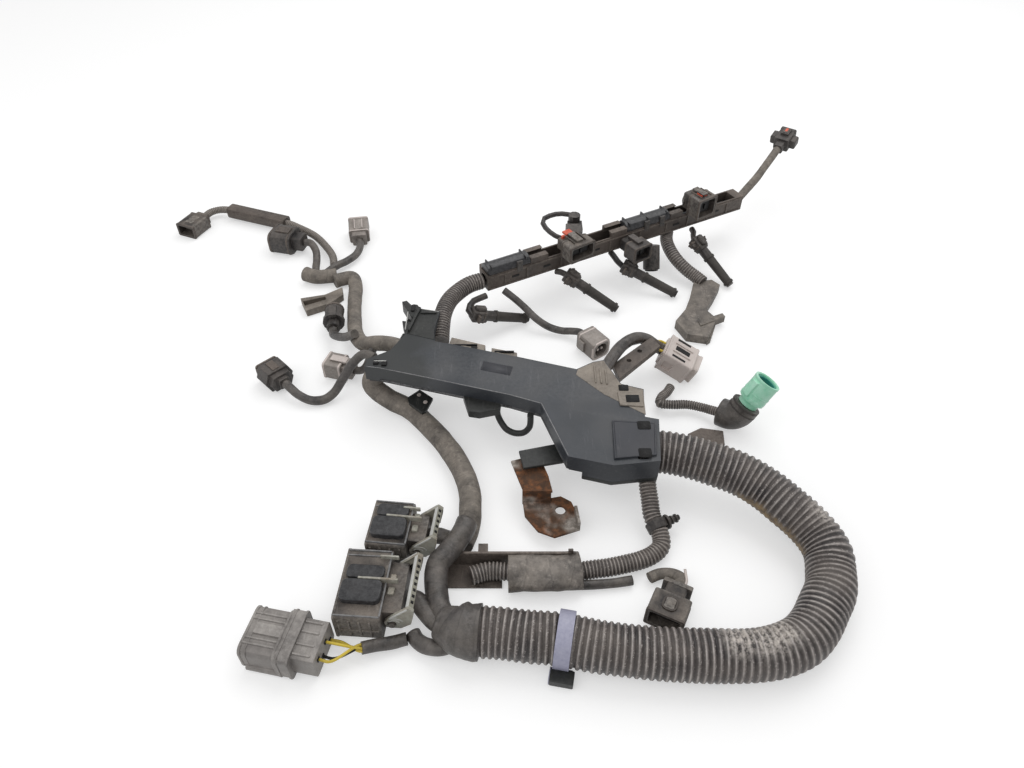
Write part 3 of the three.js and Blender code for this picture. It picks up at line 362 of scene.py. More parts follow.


# %% [markdown]
# ## Corrugated plastic
# The grooves of a split conduit are darkened as painted shade. A thin painted highlight runs beside each
# crest, broken into patches, and there are flecks of painted highlight on the crests. A noise can't know
# where a crest is, so the tube's own mesh carries that as values at its points: crest, rubbed for the painted
# highlight line beside it, slit where the conduit gapes and shows old tape, and torn where it is scuffed. The
# finish only reads them.

# %% Corrugated plastic
def corrugated_finish(name, groove, crest, amount=0.4):
    """Painted shade in the grooves, crests 2.6 times lighter, and a painted highlight line and flecks in the
    crest colour, read from the tube's own values, under the dust film. groove and crest are colours from 0 to
    255, and amount is the dust's."""
    material, tree, shader = new_material(name)
    ribs = tree.nodes.new("ShaderNodeAttribute")
    ribs.attribute_name = "crest"
    # Painted highlight: a thin line beside each crest, broken into patches, and flecks on the crests, in the
    # crest colour.
    patchy = span(tree, noise(tree, 75.0, 6.0, 0.75), 0.36, 0.62, 0.15, 1.0)
    highlight_line = tree.nodes.new("ShaderNodeAttribute")
    highlight_line.attribute_name = "rubbed"
    painted_highlight = math_node(tree, "MULTIPLY", highlight_line.outputs["Fac"], patchy)
    highlight_flecks = span(tree, noise(tree, 620.0, 3.0, 0.7), 0.56, 0.66, 0.0, 0.8)
    painted_highlight = math_node(tree, "MAXIMUM", painted_highlight, math_node(tree, "MULTIPLY", highlight_flecks, ribs.outputs["Fac"]))
    # Painted shade: the grooves take the dark groove colour, and the crests are 2.6 times lighter.
    body = blend(tree, ribs.outputs["Fac"], srgb(*groove)[:3], tuple(2.6 * v for v in srgb(*groove)[:3]))
    colour = blend(tree, painted_highlight, body, srgb(*crest)[:3])
    film = place_group(tree, DUST, Dust=srgb(150, 140, 132), Amount=amount, Scale=34.0, Upward=0.35)
    tree.links.new(colour, film.inputs["Base"])
    open_slit = tree.nodes.new("ShaderNodeAttribute")
    open_slit.attribute_name = "slit"
    mottled = span(tree, noise(tree, 150.0, 6.0, 0.75), 0.4, 0.6)
    tape = blend(tree, mottled, srgb(74, 56, 34)[:3], srgb(142, 116, 74)[:3])
    torn = tree.nodes.new("ShaderNodeAttribute")
    torn.attribute_name = "torn"
    flaking = span(tree, noise(tree, 210.0, 6.0, 0.8), 0.42, 0.58)
    scuff = math_node(tree, "MULTIPLY", torn.outputs["Fac"], flaking)
    scuffed = blend(tree, scuff, film.outputs["Color"], srgb(196, 188, 180)[:3])
    final = blend(tree, open_slit.outputs["Fac"], scuffed, tape)
    tree.links.new(final, shader.inputs["Base Color"])
    tree.links.new(span(tree, film.outputs["Mask"], 0.0, 0.7, 0.42, 0.72), shader.inputs["Roughness"])
    grain = place_group(tree, GRAIN, Scratches=0.5)
    relief = make(tree, "ShaderNodeBump", Strength=0.3, Distance=0.0005)
    tree.links.new(grain.outputs["Height"], relief.inputs["Height"])
    tree.links.new(relief.outputs["Normal"], shader.inputs["Normal"])
    return material


# %% [markdown]
# ## Wound tape
# The trunks are bundles of wires under wound cloth tape. Each turn overlaps the last along a slanting edge,
# which is drawn darker. The turns follow the tube, so the finish counts them in the tube's own UV map, whose
# x is metres along it and whose y is turns round it. Wrapping a strip round each tube in geometry would show
# only as the same faint steps.

# %% Wound tape
def tape_finish(name, base, light, pitch=0.014, amount=0.5, rough=0.62, by_place=False):
    """Tape wound round a bundle: each turn overlaps the last along a slanting edge, which is dark.
    The turns are counted along the tube, or along x by_place on a wrap that has no tube of its own."""
    material, tree, shader = new_material(name)
    parts = tree.nodes.new("ShaderNodeSeparateXYZ")
    if by_place:
        tree.links.new(tree.nodes.new("ShaderNodeTexCoord").outputs["Object"], parts.inputs[0])
        lean = math_node(tree, "MULTIPLY", parts.outputs["Z"], 30.0)
    else:
        uv = tree.nodes.new("ShaderNodeUVMap")
        uv.uv_map = "along"
        tree.links.new(uv.outputs["UV"], parts.inputs[0])
        lean = parts.outputs["Y"]
    turns = math_node(tree, "ADD", math_node(tree, "MULTIPLY", parts.outputs["X"], 1.0 / pitch), lean)
    wobble = span(tree, noise(tree, 45.0, 3.0, 0.6), 0.0, 1.0, -0.35, 0.35)
    lap = math_node(tree, "FRACT", math_node(tree, "ADD", turns, wobble), 0.0)
    seam = span(tree, lap, 0.0, 0.10, 1.0, 0.0)
    mottled = span(tree, noise(tree, 70.0, 6.0, 0.7), 0.32, 0.68)
    colour = blend(tree, mottled, srgb(*base)[:3], srgb(*light)[:3])
    streaks = span(tree, noise(tree, 130.0, 5.0, 0.75), 0.52, 0.68, 0.0, 0.6)
    colour = blend(tree, streaks, colour, tuple(1.5 * v for v in srgb(*light)[:3]))
    # The slanting edge of each turn is darkened towards 0.3 of the base colour.
    darker_seam = tuple(0.3 * v for v in srgb(*base)[:3])
    colour = blend(tree, math_node(tree, "MULTIPLY", seam, 0.35), colour, darker_seam)
    film = place_group(tree, DUST, Dust=srgb(160, 150, 138), Amount=amount, Scale=40.0, Upward=0.4)
    tree.links.new(colour, film.inputs["Base"])
    tree.links.new(film.outputs["Color"], shader.inputs["Base Color"])
    tree.links.new(span(tree, mottled, 0.0, 1.0, rough, rough + 0.2), shader.inputs["Roughness"])
    height = math_node(tree, "ADD", math_node(tree, "MULTIPLY", lap, 0.8),
        math_node(tree, "MULTIPLY", noise(tree, 500.0, 4.0, 0.65), 0.7))
    relief = make(tree, "ShaderNodeBump", Strength=0.6, Distance=0.0007)
    tree.links.new(height, relief.inputs["Height"])
    tree.links.new(relief.outputs["Normal"], shader.inputs["Normal"])
    return material


# %% [markdown]
# ## Rust
# The steel bracket has rusted through its plating: brown over most of it, orange in spots, and grey where
# the sheet is still bare. Three noises of different sizes choose between the colours, and bare steel is
# the smoother of them.

# %% Rust
def rust_finish():
    """Brown and orange rust by two noises, and a third that lets the worn grey sheet through."""
    material, tree, shader = new_material("rusted sheet")
    wide = span(tree, noise(tree, 42.0, 7.0, 0.7), 0.38, 0.62)
    spots = span(tree, noise(tree, 190.0, 6.0, 0.7), 0.42, 0.62)
    rust = blend(tree, spots, srgb(74, 50, 34)[:3], srgb(150, 96, 58)[:3])
    sheet = blend(tree, spots, srgb(120, 112, 104)[:3], srgb(172, 164, 156)[:3])
    bare = span(tree, noise(tree, 24.0, 3.0, 0.5), 0.53, 0.62)
    colour = blend(tree, wide, srgb(82, 62, 48)[:3], rust)
    tree.links.new(blend(tree, bare, colour, sheet), shader.inputs["Base Color"])
    tree.links.new(span(tree, bare, 0.0, 1.0, 0.85, 0.5), shader.inputs["Roughness"])
    shader.inputs["Metallic"].default_value = 0.15
    relief = make(tree, "ShaderNodeBump", Strength=0.7, Distance=0.0006)
    tree.links.new(noise(tree, 420.0, 6.0, 0.7), relief.inputs["Height"])
    tree.links.new(relief.outputs["Normal"], shader.inputs["Normal"])
    return material


# %% [markdown]
# ## The palette
# Every colour was judged against the photograph under this scene's own light. The plastics share one
# recipe, so they stand in a table, one row each. The smooth mouldings speckle less, and the trough's
# left wing is of a greyer plastic, into which its colour drifts.

# %% The palette
# finish: (name, base, dust, amount of dust, patches of dust a metre, roughness, worn colour, wear)
PLASTICS = {
    "trough": ("blue black trough", (50, 54, 60), (104, 103, 103), 0.55, 18.0, 0.38, (140, 140, 142), 0.1),
    "panel": ("neck panel", (48, 50, 57), (92, 91, 93), 0.4, 30.0, 0.42, (150, 148, 148), 0.0),
    "wing": ("left wing", (32, 34, 34), (74, 73, 70), 0.35, 30.0, 0.4, (150, 150, 146), 0.12),
    "black": ("black plug", (34, 32, 33), (128, 120, 114), 0.5, 40.0, 0.42, (140, 134, 128), 0.5),
    "housing": ("dusty housing", (48, 44, 43), (146, 136, 126), 0.75, 46.0, 0.5, (200, 194, 186), 0.7),
    "gloss": ("smooth dark plastic", (27, 27, 30), (92, 90, 90), 0.2, 60.0, 0.3, (130, 130, 132), 0.6),
    "dark": ("deep black", (12, 12, 13), (48, 46, 46), 0.2, 60.0, 0.6, (70, 68, 68), 0.2),
    "brown": ("dusty brown plastic", (60, 53, 49), (138, 126, 117), 0.6, 26.0, 0.5, (160, 150, 140), 0.5),
    "taupe": ("taupe clips", (98, 90, 82), (176, 166, 154), 0.7, 34.0, 0.5, (184, 176, 166), 0.5),
    "rubber": ("black rubber", (44, 41, 39), (104, 98, 92), 0.5, 46.0, 0.55, (96, 92, 88), 0.3),
    "grey": ("warm grey plastic", (118, 113, 110), (196, 190, 184), 0.6, 46.0, 0.38, (206, 202, 196), 0.5),
    "pale": ("pale plastic", (112, 105, 100), (190, 180, 172), 0.6, 44.0, 0.4, (216, 210, 204), 0.5),
    "light": ("light plastic", (190, 178, 172), (214, 206, 200), 0.5, 44.0, 0.4, (228, 222, 218), 0.5),
    "lever": ("grey green lever", (152, 152, 140), (112, 82, 56), 0.6, 70.0, 0.4, (224, 222, 214), 0.8),
    "green": ("mint plug", (136, 212, 176), (226, 248, 238), 0.55, 60.0, 0.3, (214, 240, 228), 0.5),
    "teal": ("blue green ring", (46, 136, 122), (110, 180, 160), 0.3, 60.0, 0.35, (150, 210, 190), 0.4),
    "clamp": ("lavender band", (146, 146, 170), (194, 194, 206), 0.4, 50.0, 0.35, (214, 214, 224), 0.5),
    "red": ("red lock", (206, 70, 44), (236, 130, 100), 0.4, 80.0, 0.35, (250, 160, 130), 0.4),
    "yellow": ("yellow wire", (214, 188, 62), (170, 150, 90), 0.3, 90.0, 0.35, (236, 222, 140), 0.3),
    "edge": ("rubbed edge", (96, 96, 98), (150, 148, 146), 0.6, 90.0, 0.4, (190, 190, 190), 0.5),
    "white line": ("bright metal", (196, 196, 192), (150, 146, 140), 0.4, 80.0, 0.3, (230, 230, 228), 0.5),
}
SMOOTH = {
    "trough": dict(drift=(-0.044, -0.064, (46, 48, 47)), speckle=0.25),
    "panel": dict(speckle=0.2),
    "wing": dict(speckle=0.3),
    "gloss": dict(speckle=0.4),
}
FINISH = {key: plastic(*row, **SMOOTH.get(key, {})) for key, row in PLASTICS.items()}
FINISH |= {
    # For each conduit, the first colour is the painted shade of its grooves and the second its painted
    # highlight.
    "wide conduit": corrugated_finish("wide conduit", (40, 36, 36), (196, 189, 184), amount=0.42),
    "conduit": corrugated_finish("thin conduit", (46, 42, 40), (186, 178, 172)),
    "pale conduit": corrugated_finish("dusty conduit", (78, 73, 68), (172, 164, 156), amount=0.45),
    "tape": tape_finish("trunk tape", (56, 52, 49), (128, 121, 113)),
    "dark tape": tape_finish("bundle tape", (28, 26, 26), (92, 88, 86), 0.011, 0.3, 0.36),
    "wrap": tape_finish("wrap tape", (42, 38, 36), (128, 121, 114), 0.016, 0.45, 0.5, by_place=True),
    "blotched tape": tape_finish("blotched tape", (44, 40, 38), (140, 133, 126), 0.019, 0.4, 0.45),
    "rust": rust_finish(),
}
print("finishes:", len(FINISH))


# %% [markdown]
# ## Cords
# Each branch follows the same smooth line as its CAD solid. The line runs through the listed points, with
# knots spaced by the square root of the chord, which keeps it from looping at tight bends. A curve
# object would do the same, but its mesh couldn't carry values for the ribs, the slit and the wear.

# %% Routes, in millimetres of the layout
ROUTES = {
    "main_conduit": [[122, -175, 38], [138, -177, 38], [156, -182, 38], [177, -190, 37], [199, -200, 35],
        [217, -213, 32], [232, -229, 29], [244, -242, 26], [253, -256, 23], [257, -271, 21],
        [255, -286, 19], [250, -303, 19], [240, -318, 19], [229, -333, 19], [216, -345, 19],
        [198, -353, 19], [178, -357, 19], [146, -357, 19], [120, -356, 19], [94, -354, 19], [65, -350, 19],
        [36, -344, 19], [13, -342, 19], [-9, -339, 19], [-38, -337, 19]],
    "injector_conduit": [[-73, -30, 41], [-73, -14, 45], [-72, 5, 48], [-67, 26, 49], [-58, 42, 49],
        [-46, 54, 50], [-33, 61, 50]],
    "ecu_trunk": [[-118, -75, 47], [-132, -76, 40], [-138, -79, 28], [-123, -87, 17], [-100, -98, 11],
        [-79, -121, 10.2], [-60, -147, 10.2], [-47, -171, 10.2], [-38, -197, 10.2], [-36, -219, 10.2],
        [-37, -238, 10.2], [-42, -255, 10.2]],
    "left_trunk": [[-104, -52, 50], [-123, -42, 48], [-138, -34, 42], [-152, -24, 32], [-166, 3, 20],
        [-175, 42, 11], [-181, 80, 8], [-184, 108, 8], [-191, 124, 8], [-202, 121, 8], [-210, 116, 8]],
    "sensor_lead": [[-134, -66, 51], [-146, -60, 50], [-157, -62, 41], [-170, -67, 22], [-180, -73, 9],
        [-189, -79, 6], [-202, -80, 6], [-215, -75, 9], [-226, -66, 12.2], [-230, -62, 12.2]],
    "round_lead": [[-162, -18, 41], [-175, -8, 28], [-188, 5, 18], [-194, 14, 14], [-195, 22, 14]],
    "lower_conduit": [[118, -196, 30], [118, -205, 26], [119, -216, 21], [120, -230, 16], [125, -243, 12],
        [125, -255, 9], [117, -263, 8], [107, -268, 8], [93, -272, 8], [80, -275, 8], [66, -277, 8],
        [54, -279, 8], [31, -280, 8], [-3, -279, 8], [-21, -279, 8], [-33, -283, 8]],
    "lower_lead": [[112, -284, 6], [121, -280, 6], [131, -280, 6], [137, -286, 8], [133, -294, 9.2]],
    "pale_lead": [[-9, 62, 36], [1, 56, 31], [14, 48, 23], [27, 38, 15], [41, 31, 9], [55, 27, 7],
        [66, 24, 9], [74, 20, 11], [79, 13, 11]],
    "fuel_conduit": [[190, 184, 39.3], [190, 183.8, 35], [188, 173, 30], [190, 155, 27], [197, 140, 22],
        [208, 128, 16], [218, 120, 12], [225, 112, 10]],
    "green_lead": [[161, -64, 9], [156, -72, 9], [150, -79, 10], [147, -88, 10], [158, -90, 10],
        [174, -89, 9], [188, -93, 9], [197, -99, 11], [204, -105, 14]],
    "injector_lead_4": [[286, 236, 50], [297, 249, 54], [313, 268, 60], [331, 292, 68], [347, 314, 75]],
    "small_lead": [[-216, 148, 8], [-221, 168, 8], [-232, 188, 8], [-251, 213, 8], [-274, 230, 9],
        [-292, 240, 10], [-335, 255, 10], [-376, 272, 10], [-389, 274, 9], [-399, 268, 9], [-404, 256, 9]],
    "white_lead": [[84, -92, 50], [97, -66, 49], [110, -43, 46], [127, -26, 42], [140, -22, 36],
        [148, -24, 30], [155, -27, 27]],
    "boot": [[203, -104, 14.5], [211, -110, 16], [218, -112, 21], [224, -110, 31]],
    "loop": [[-14, -128, 42], [-13, -129, 35], [-10, -132, 29], [-5, -137, 25], [3, -140, 23],
        [11, -141, 25], [16, -140, 31], [17, -139, 38], [16.8, -138.4, 46]],
    "ecu_fold": [[-38, -241, 22], [-42, -252, 23], [-51, -268, 22], [-60, -283, 20], [-60, -300, 17],
        [-56, -316, 16], [-50, -327, 17], [-41, -333, 19]],
    "ecu_root_a": [[-69.5, -249.6, 15], [-60, -250, 15], [-48, -256, 18]],
    "ecu_tail": [[-81.5, -308, 15], [-75, -309.5, 15.5], [-67, -320, 16], [-58, -329, 15], [-41, -337, 16]],
    "ecu_loop": [[-76, -333, 7], [-72, -339, 7], [-64, -344, 8], [-53, -347, 10], [-41, -343, 14]],
    "plug_lead": [[-113, -347, 11], [-104, -344, 9], [-92, -341, 7.5], [-80, -338, 8]],
    "junction_stem": [[-209, 128, 9], [-221, 125, 9], [-234, 124, 9], [-247, 130, 9]],
    "oval_lead": [[-234, 128, 9], [-237, 144, 9], [-239, 160, 9], [-243, 176, 11], [-251, 188, 14],
        [-259, 190, 14]],
    "upright_lead": [[-226, 126, 9], [-213, 146, 9], [-202, 158, 8], [-193, 172, 8], [-190, 188, 9],
        [-192, 200, 10]],
    "square_lead": [[-139, -36, 41], [-143, -42, 34], [-147, -46, 25], [-153, -45.5, 16],
        [-160, -42.9, 12.3], [-163, -42, 12.3]],
    "lower_wrap": [[-3, -281, 9.6], [8, -281, 9.8], [22, -281.5, 10], [38, -282, 10], [50, -281.5, 9.8],
        [56, -281, 9.6]],
    "lower_tail": [[98, -285, 4.5], [80, -288, 4.5], [50, -290, 5], [20, -291, 6], [-3, -291, 6]],
}
print("routes:", len(ROUTES))


# %% A smooth line and the directions across it
def smooth_path(points, step):
    """Samples of the centripetal Catmull-Rom line through layout points, in metres, a step apart.
    Each stretch between two points is a cubic: its two ends, and the slopes there worked out from the
    neighbouring chords, weighted by the square roots of their lengths."""
    p = (np.array(points, float) + SHIFT) * MM
    p = np.vstack([2 * p[0] - p[1], p, 2 * p[-1] - p[-2]])
    knots = np.sqrt(np.linalg.norm(np.diff(p, axis=0), axis=1))
    d0, d1, d2 = knots[:-2, None], knots[1:-1, None], knots[2:, None]
    a, b, c, d = p[:-3], p[1:-2], p[2:-1], p[3:]
    m1 = ((b - a) / d0 - (c - a) / (d0 + d1) + (c - b) / d1) * d1
    m2 = ((c - b) / d1 - (d - b) / (d1 + d2) + (d - c) / d2) * d1
    t = np.linspace(0, 1, 60, endpoint=False)[None, :, None]
    b, c, m1, m2 = (v[:, None, :] for v in (b, c, m1, m2))
    line = b + m1 * t + (3 * (c - b) - 2 * m1 - m2) * t ** 2 + (2 * (b - c) + m1 + m2) * t ** 3
    line = np.vstack([line.reshape(-1, 3), p[-2]])
    run = np.concatenate([[0], np.cumsum(np.linalg.norm(np.diff(line, axis=0), axis=1))])
    count = max(4, int(round(run[-1] / step)))
    at = np.linspace(0, run[-1], count + 1)
    return np.stack([np.interp(at, run, line[:, i]) for i in range(3)], axis=1), at


def carried_frames(line):
    """Two unit directions across a line at each sample, carried along it without twist: each one is
    the last, less its part along the line, made unit again."""
    tangent = np.gradient(line, axis=0)
    tangent /= np.linalg.norm(tangent, axis=1)[:, None]
    side = np.cross([0, 0, 1.0], tangent[0])
    if np.linalg.norm(side) < 0.2:
        side = np.cross([1.0, 0, 0], tangent[0])
    sides = [side / np.linalg.norm(side)]
    for here in tangent[1:]:
        side = sides[-1] - here * (sides[-1] @ here)
        sides.append(side / np.linalg.norm(side))
    sides = np.array(sides)
    return sides, np.cross(tangent, sides)


# %% [markdown]
# ## Meshes from grids
# A tube is a grid of points: one row for each step along the line and one column for each step round
# it. The rows are closed with a cap at each end, so the mesh is one closed body. The whole grid is worked
# out as arrays, since a loop over some hundred thousand points would be slow.

# %% Grid to mesh
def new_object(name, mesh, finish, body="harness"):
    """A piece of the harness that rides on its body and wears its finish."""
    mesh.materials.append(FINISH[finish])
    piece = bpy.data.objects.new(name, mesh)
    bpy.context.scene.collection.objects.link(piece)
    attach(piece, body)
    return piece


def tube_mesh(name, grid, along, values=None):
    """A closed tube mesh from points[row, column]. Its UV map is metres along and turns round, and
    values are laid on its points. Each face joins a point to the next column and the next row."""
    rows, columns = grid.shape[:2]
    vertices = np.vstack([grid.reshape(-1, 3), grid[0].mean(axis=0), grid[-1].mean(axis=0)])
    i, j = np.meshgrid(np.arange(rows - 1), np.arange(columns), indexing="ij")
    k = (j + 1) % columns
    quads = np.stack([i * columns + j, i * columns + k, (i + 1) * columns + k, (i + 1) * columns + j],
        axis=-1)
    c = np.arange(columns)
    first, last = rows * columns, rows * columns + 1
    start = np.stack([np.full(columns, first), (c + 1) % columns, c], axis=1)
    base = (rows - 1) * columns
    end = np.stack([np.full(columns, last), base + c, base + (c + 1) % columns], axis=1)
    loops = np.concatenate([quads.reshape(-1), start.reshape(-1), end.reshape(-1)])
    sizes = np.concatenate([np.full(quads[..., 0].size, 4), np.full(2 * columns, 3)])
    mesh = bpy.data.meshes.new(name)
    mesh.vertices.add(len(vertices))
    mesh.vertices.foreach_set("co", vertices.astype(np.float32).ravel())
    mesh.loops.add(len(loops))
    mesh.loops.foreach_set("vertex_index", loops.astype(np.int32))
    mesh.polygons.add(len(sizes))
    mesh.polygons.foreach_set("loop_start", np.concatenate([[0], np.cumsum(sizes)[:-1]]).astype(np.int32))
    smooth = np.concatenate([np.ones(quads[..., 0].size, bool), np.zeros(2 * columns, bool)])
    u = np.stack([along[i], along[i], along[i + 1], along[i + 1]], axis=-1)
    v = np.stack([j, j + 1, j + 1, j], axis=-1) / columns
    uv = np.zeros((len(loops), 2), np.float32)
    uv[:quads.size] = np.stack([u.reshape(-1), v.reshape(-1)], axis=1)
    mesh.update(calc_edges=True)
    mesh.polygons.foreach_set("use_smooth", smooth)
    mesh.uv_layers.new(name="along").data.foreach_set("uv", uv.ravel())
    for key, value in (values or {}).items():
        data = np.concatenate([np.broadcast_to(value, (rows, columns)).reshape(-1), [0, 0]])
        mesh.attributes.new(key, "FLOAT", "POINT").data.foreach_set("value", data.astype(np.float32))
    mesh.validate()
    return mesh


def soft_noise(rows, columns, seed, along_cells, round_cells):
    """Smooth random values on a grid that closes round the tube, from -1 to 1: random values on a
    coarse grid, and between them a blend that is flat at each of its points."""
    rng = np.random.default_rng(seed)
    coarse = rng.uniform(-1, 1, (along_cells + 1, round_cells))
    coarse = np.hstack([coarse, coarse[:, :1]])
    y = np.linspace(0, along_cells, rows)
    x = np.linspace(0, round_cells, columns, endpoint=False)
    y0, x0 = np.minimum(y.astype(int), along_cells - 1), x.astype(int)
    fy, fx = y - y0, x - x0
    fy, fx = (3 * fy ** 2 - 2 * fy ** 3)[:, None], (3 * fx ** 2 - 2 * fx ** 3)[None, :]
    a, b = coarse[np.ix_(y0, x0)], coarse[np.ix_(y0, x0 + 1)]
    c, d = coarse[np.ix_(y0 + 1, x0)], coarse[np.ix_(y0 + 1, x0 + 1)]
    return (a * (1 - fx) + b * fx) * (1 - fy) + (c * (1 - fx) + d * fx) * fy


def sweep(line, radius, columns, squash=(1.0, 1.0)):
    """Points round a line, one row for each sample: the line, plus the radius times the cosine of the
    turn to one side and its sine upwards; squash scales the two."""
    sides, ups = carried_frames(line)
    turn = np.linspace(0, 2 * np.pi, columns, endpoint=False)
    across = np.cos(turn)[None, :, None] * sides[:, None, :] * squash[0]
    above = np.sin(turn)[None, :, None] * ups[:, None, :] * squash[1]
    return line[:, None, :] + np.asarray(radius)[..., None] * (across + above)


CORDS = []  # every branch as (piece, name, diameter, line, metres along it), counted at the end

# %% [markdown]
# ### Corrugated tubes
# A split conduit is blown into ribs with flat crests and narrow grooves. A plain sine would look like a
# spring, so the wave is pressed flat with a tanh. The ribs are real geometry, because they show in the
# outline of the bend, and the wide conduit is a little out of round, as an old one is.

# %% Corrugated tubes
UNEVEN_FROM = 0.03    # only a conduit wider than this, in metres, has lost its roundness
TAPE_RADIUS = 0.485   # radius of the tape in the slit, as a share of the diameter
HIGHLIGHT_AT, HIGHLIGHT_WIDTH = 0.10, 0.11  # the painted highlight line beside each crest, as shares of the pitch
FLATNESS, WIDER = 2.2, 0.15           # how flat the crests are, and how much wider than the grooves


def corrugated(name, diameter, pitch, depth, finish="conduit", columns=28, rows_per_rib=7, slit=None,
        torn=None, seed=1):
    """A tube whose radius is the outer radius less a groove. The rib is a flat topped wave along the
    line, once a pitch; slit and torn are functions that give a mask over the tube's points."""
    line, along = smooth_path(ROUTES[name], pitch / rows_per_rib)
    wave = np.cos(2 * np.pi * along / pitch)
    crest = 0.5 + 0.5 * np.tanh(FLATNESS * (wave + WIDER)) / np.tanh(2.5)
    uneven = soft_noise(len(along), columns, seed, max(3, int(along[-1] / 0.03)), 6)
    radius = diameter / 2 + 0.25 * depth - depth * (1 - crest)[:, None] \
        + 0.35 * depth * uneven * (diameter > UNEVEN_FROM)
    mask = wear = np.zeros((len(along), columns))
    if slit is not None:
        turn = np.linspace(0, 1, columns, endpoint=False)
        mask, wear = slit(along, turn), torn(along, turn)
        radius = radius * (1 - mask) + mask * diameter * TAPE_RADIUS
    grid = sweep(line, radius, columns)
    # rubbed is the mask of the painted highlight line beside each crest.
    beside = np.abs((along / pitch - HIGHLIGHT_AT + 0.5) % 1 - 0.5)
    rubbed = np.exp(-(beside / HIGHLIGHT_WIDTH) ** 2)[:, None] * (1 - mask)
    values = {"crest": crest[:, None] * (1 - mask), "rubbed": rubbed, "slit": mask, "torn": wear}
    mesh = tube_mesh(name + "_look", grid, along, values)
    piece = new_object(name + "_look", mesh, finish)
    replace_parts(piece, name)
    CORDS.append((piece, name, diameter, line, along))
    print(name, "length", round(float(along[-1]), 3), "faces", len(mesh.polygons))


# %% [markdown]
# ### Taped leads
# Wires under tape aren't a smooth pipe: the bundle swells and sinks, and the tape's turns lie in ridges.
# The radius is varied by two soft noises, one about every 20 mm and one about every 6 mm. Bump alone
# would leave the outline as straight as a rod.

# %% Taped leads
TAPE_STEP = 0.0016                     # metres between two rows of points
LUMP_EVERY, RIDGE_EVERY = 0.02, 0.006  # metres


def taped(name, diameter, finish="tape", columns=24, seed=1, lumps=0.05, node=None, squash=(1.0, 1.0)):
    """A round tube whose radius is half the diameter times one plus the two noises; lumps is how much
    they vary it. The piece replaces its CAD node, which has the same name unless node says otherwise."""
    line, along = smooth_path(ROUTES[name], TAPE_STEP)
    rows = len(along)
    uneven = soft_noise(rows, columns, seed, max(3, int(along[-1] / LUMP_EVERY)), 5)
    ridges = soft_noise(rows, columns, seed + 50, max(4, int(along[-1] / RIDGE_EVERY)), 3)
    radius = diameter / 2 * (1 + lumps * uneven + 0.4 * lumps * ridges)
    mesh = tube_mesh(name + "_look", sweep(line, radius, columns, squash), along)
    piece = new_object(name + "_look", mesh, finish)
    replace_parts(piece, node or name)
    CORDS.append((piece, name, diameter, line, along))
    print(name, "length", round(float(along[-1]), 3), "faces", len(mesh.polygons))


# %% [markdown]
# ### Marks along the wide conduit
# The conduit is split along its length, and in the bend the slit gapes and shows old tan tape. Beside it
# and along the near run the crests are scuffed pale. Each mark is a mask over the grid: how far along the
# tube, times how near a place round it, with a ragged edge. Distances are metres along the conduit.

# %% Marks along the wide conduit
def near_turn(turn, centre, width):
    """1 near a place round the tube, counted in turns, and 0 away from it."""
    gap = np.abs((turn - centre + 0.5) % 1 - 0.5)
    return np.clip(1.5 - gap / width, 0, 1)


def conduit_marks(along, turn, start, end, centre, width, soft=0.012):
    """A mask that is 1 between two places along a tube and near a place round it, and whose edge is
    made ragged by a soft noise; nothing is marked beyond a band that is half as wide again."""
    inside = np.clip((along - start) / soft, 0, 1) * np.clip((end - along) / soft, 0, 1)
    ragged = 0.25 * soft_noise(len(along), len(turn), 77, max(4, int(along[-1] / 0.007)), 9)
    marked = inside[:, None] * near_turn(turn[None, :] + 0.06 * ragged, centre, width) + ragged * 0.6
    allowed = inside[:, None] * near_turn(turn[None, :], centre, 1.5 * width) > 0.05
    return np.clip(marked, 0, 1) * allowed


def tape_in_slit(along, turn):
    """Old tape shows in the slit on the inner side of the bend."""
    return conduit_marks(along, turn, start=0.080, end=0.178, centre=0.56, width=0.055)


def torn_places(along, turn):
    """Scuffed crests beside the slit and along the underside of the near run."""
    beside = conduit_marks(along, turn, start=0.135, end=0.165, centre=0.20, width=0.06)
    near = conduit_marks(along, turn, start=0.265, end=0.335, centre=0.34, width=0.11)
    return np.maximum(beside, near)


# %% [markdown]
# ### Every cord of the harness
# The conduits come first, then the taped trunks and leads, each with its own seed, so that no two have
# the same lumps. Diameters and pitches are metres.

# %% Conduits
corrugated("main_conduit", 0.038, pitch=0.0052, depth=0.0015, finish="wide conduit", columns=96,
    rows_per_rib=8, slit=tape_in_slit, torn=torn_places, seed=3)
corrugated("injector_conduit", 0.018, pitch=0.0032, depth=0.0010, columns=40)
corrugated("lower_conduit", 0.015, pitch=0.0030, depth=0.0009, columns=36)
corrugated("fuel_conduit", 0.015, pitch=0.0030, depth=0.0005, columns=32)
corrugated("small_lead", 0.009, pitch=0.0026, depth=0.0005, finish="pale conduit", columns=24)
corrugated("green_lead", 0.009, pitch=0.0024, depth=0.0006, columns=24)

# %% Trunks and leads
taped("ecu_trunk", 0.020, seed=11)
taped("left_trunk", 0.016, seed=12)
taped("sensor_lead", 0.009, "dark tape", seed=13)
taped("round_lead", 0.009, "dark tape", seed=14)
taped("lower_lead", 0.009, "tape", seed=15, squash=(1.1, 0.85))
taped("pale_lead", 0.008, "dark tape", seed=16)
taped("injector_lead_4", 0.010, "tape", seed=17)
for name, diameter, seed in (("ecu_fold", 0.018, 21), ("ecu_root_a", 0.014, 22), ("ecu_tail", 0.014, 23),
        ("ecu_loop", 0.012, 24)):
    taped(name, diameter, "dark tape", seed=seed, lumps=0.12, node="ecu_bundle")
taped("plug_lead", 0.010, "dark tape", seed=25, node="grey_lead")
taped("junction_stem", 0.017, "tape", seed=26, node="left_junction")
taped("oval_lead", 0.009, "dark tape", seed=27, node="left_junction")
taped("upright_lead", 0.009, "dark tape", seed=28, node="left_junction")
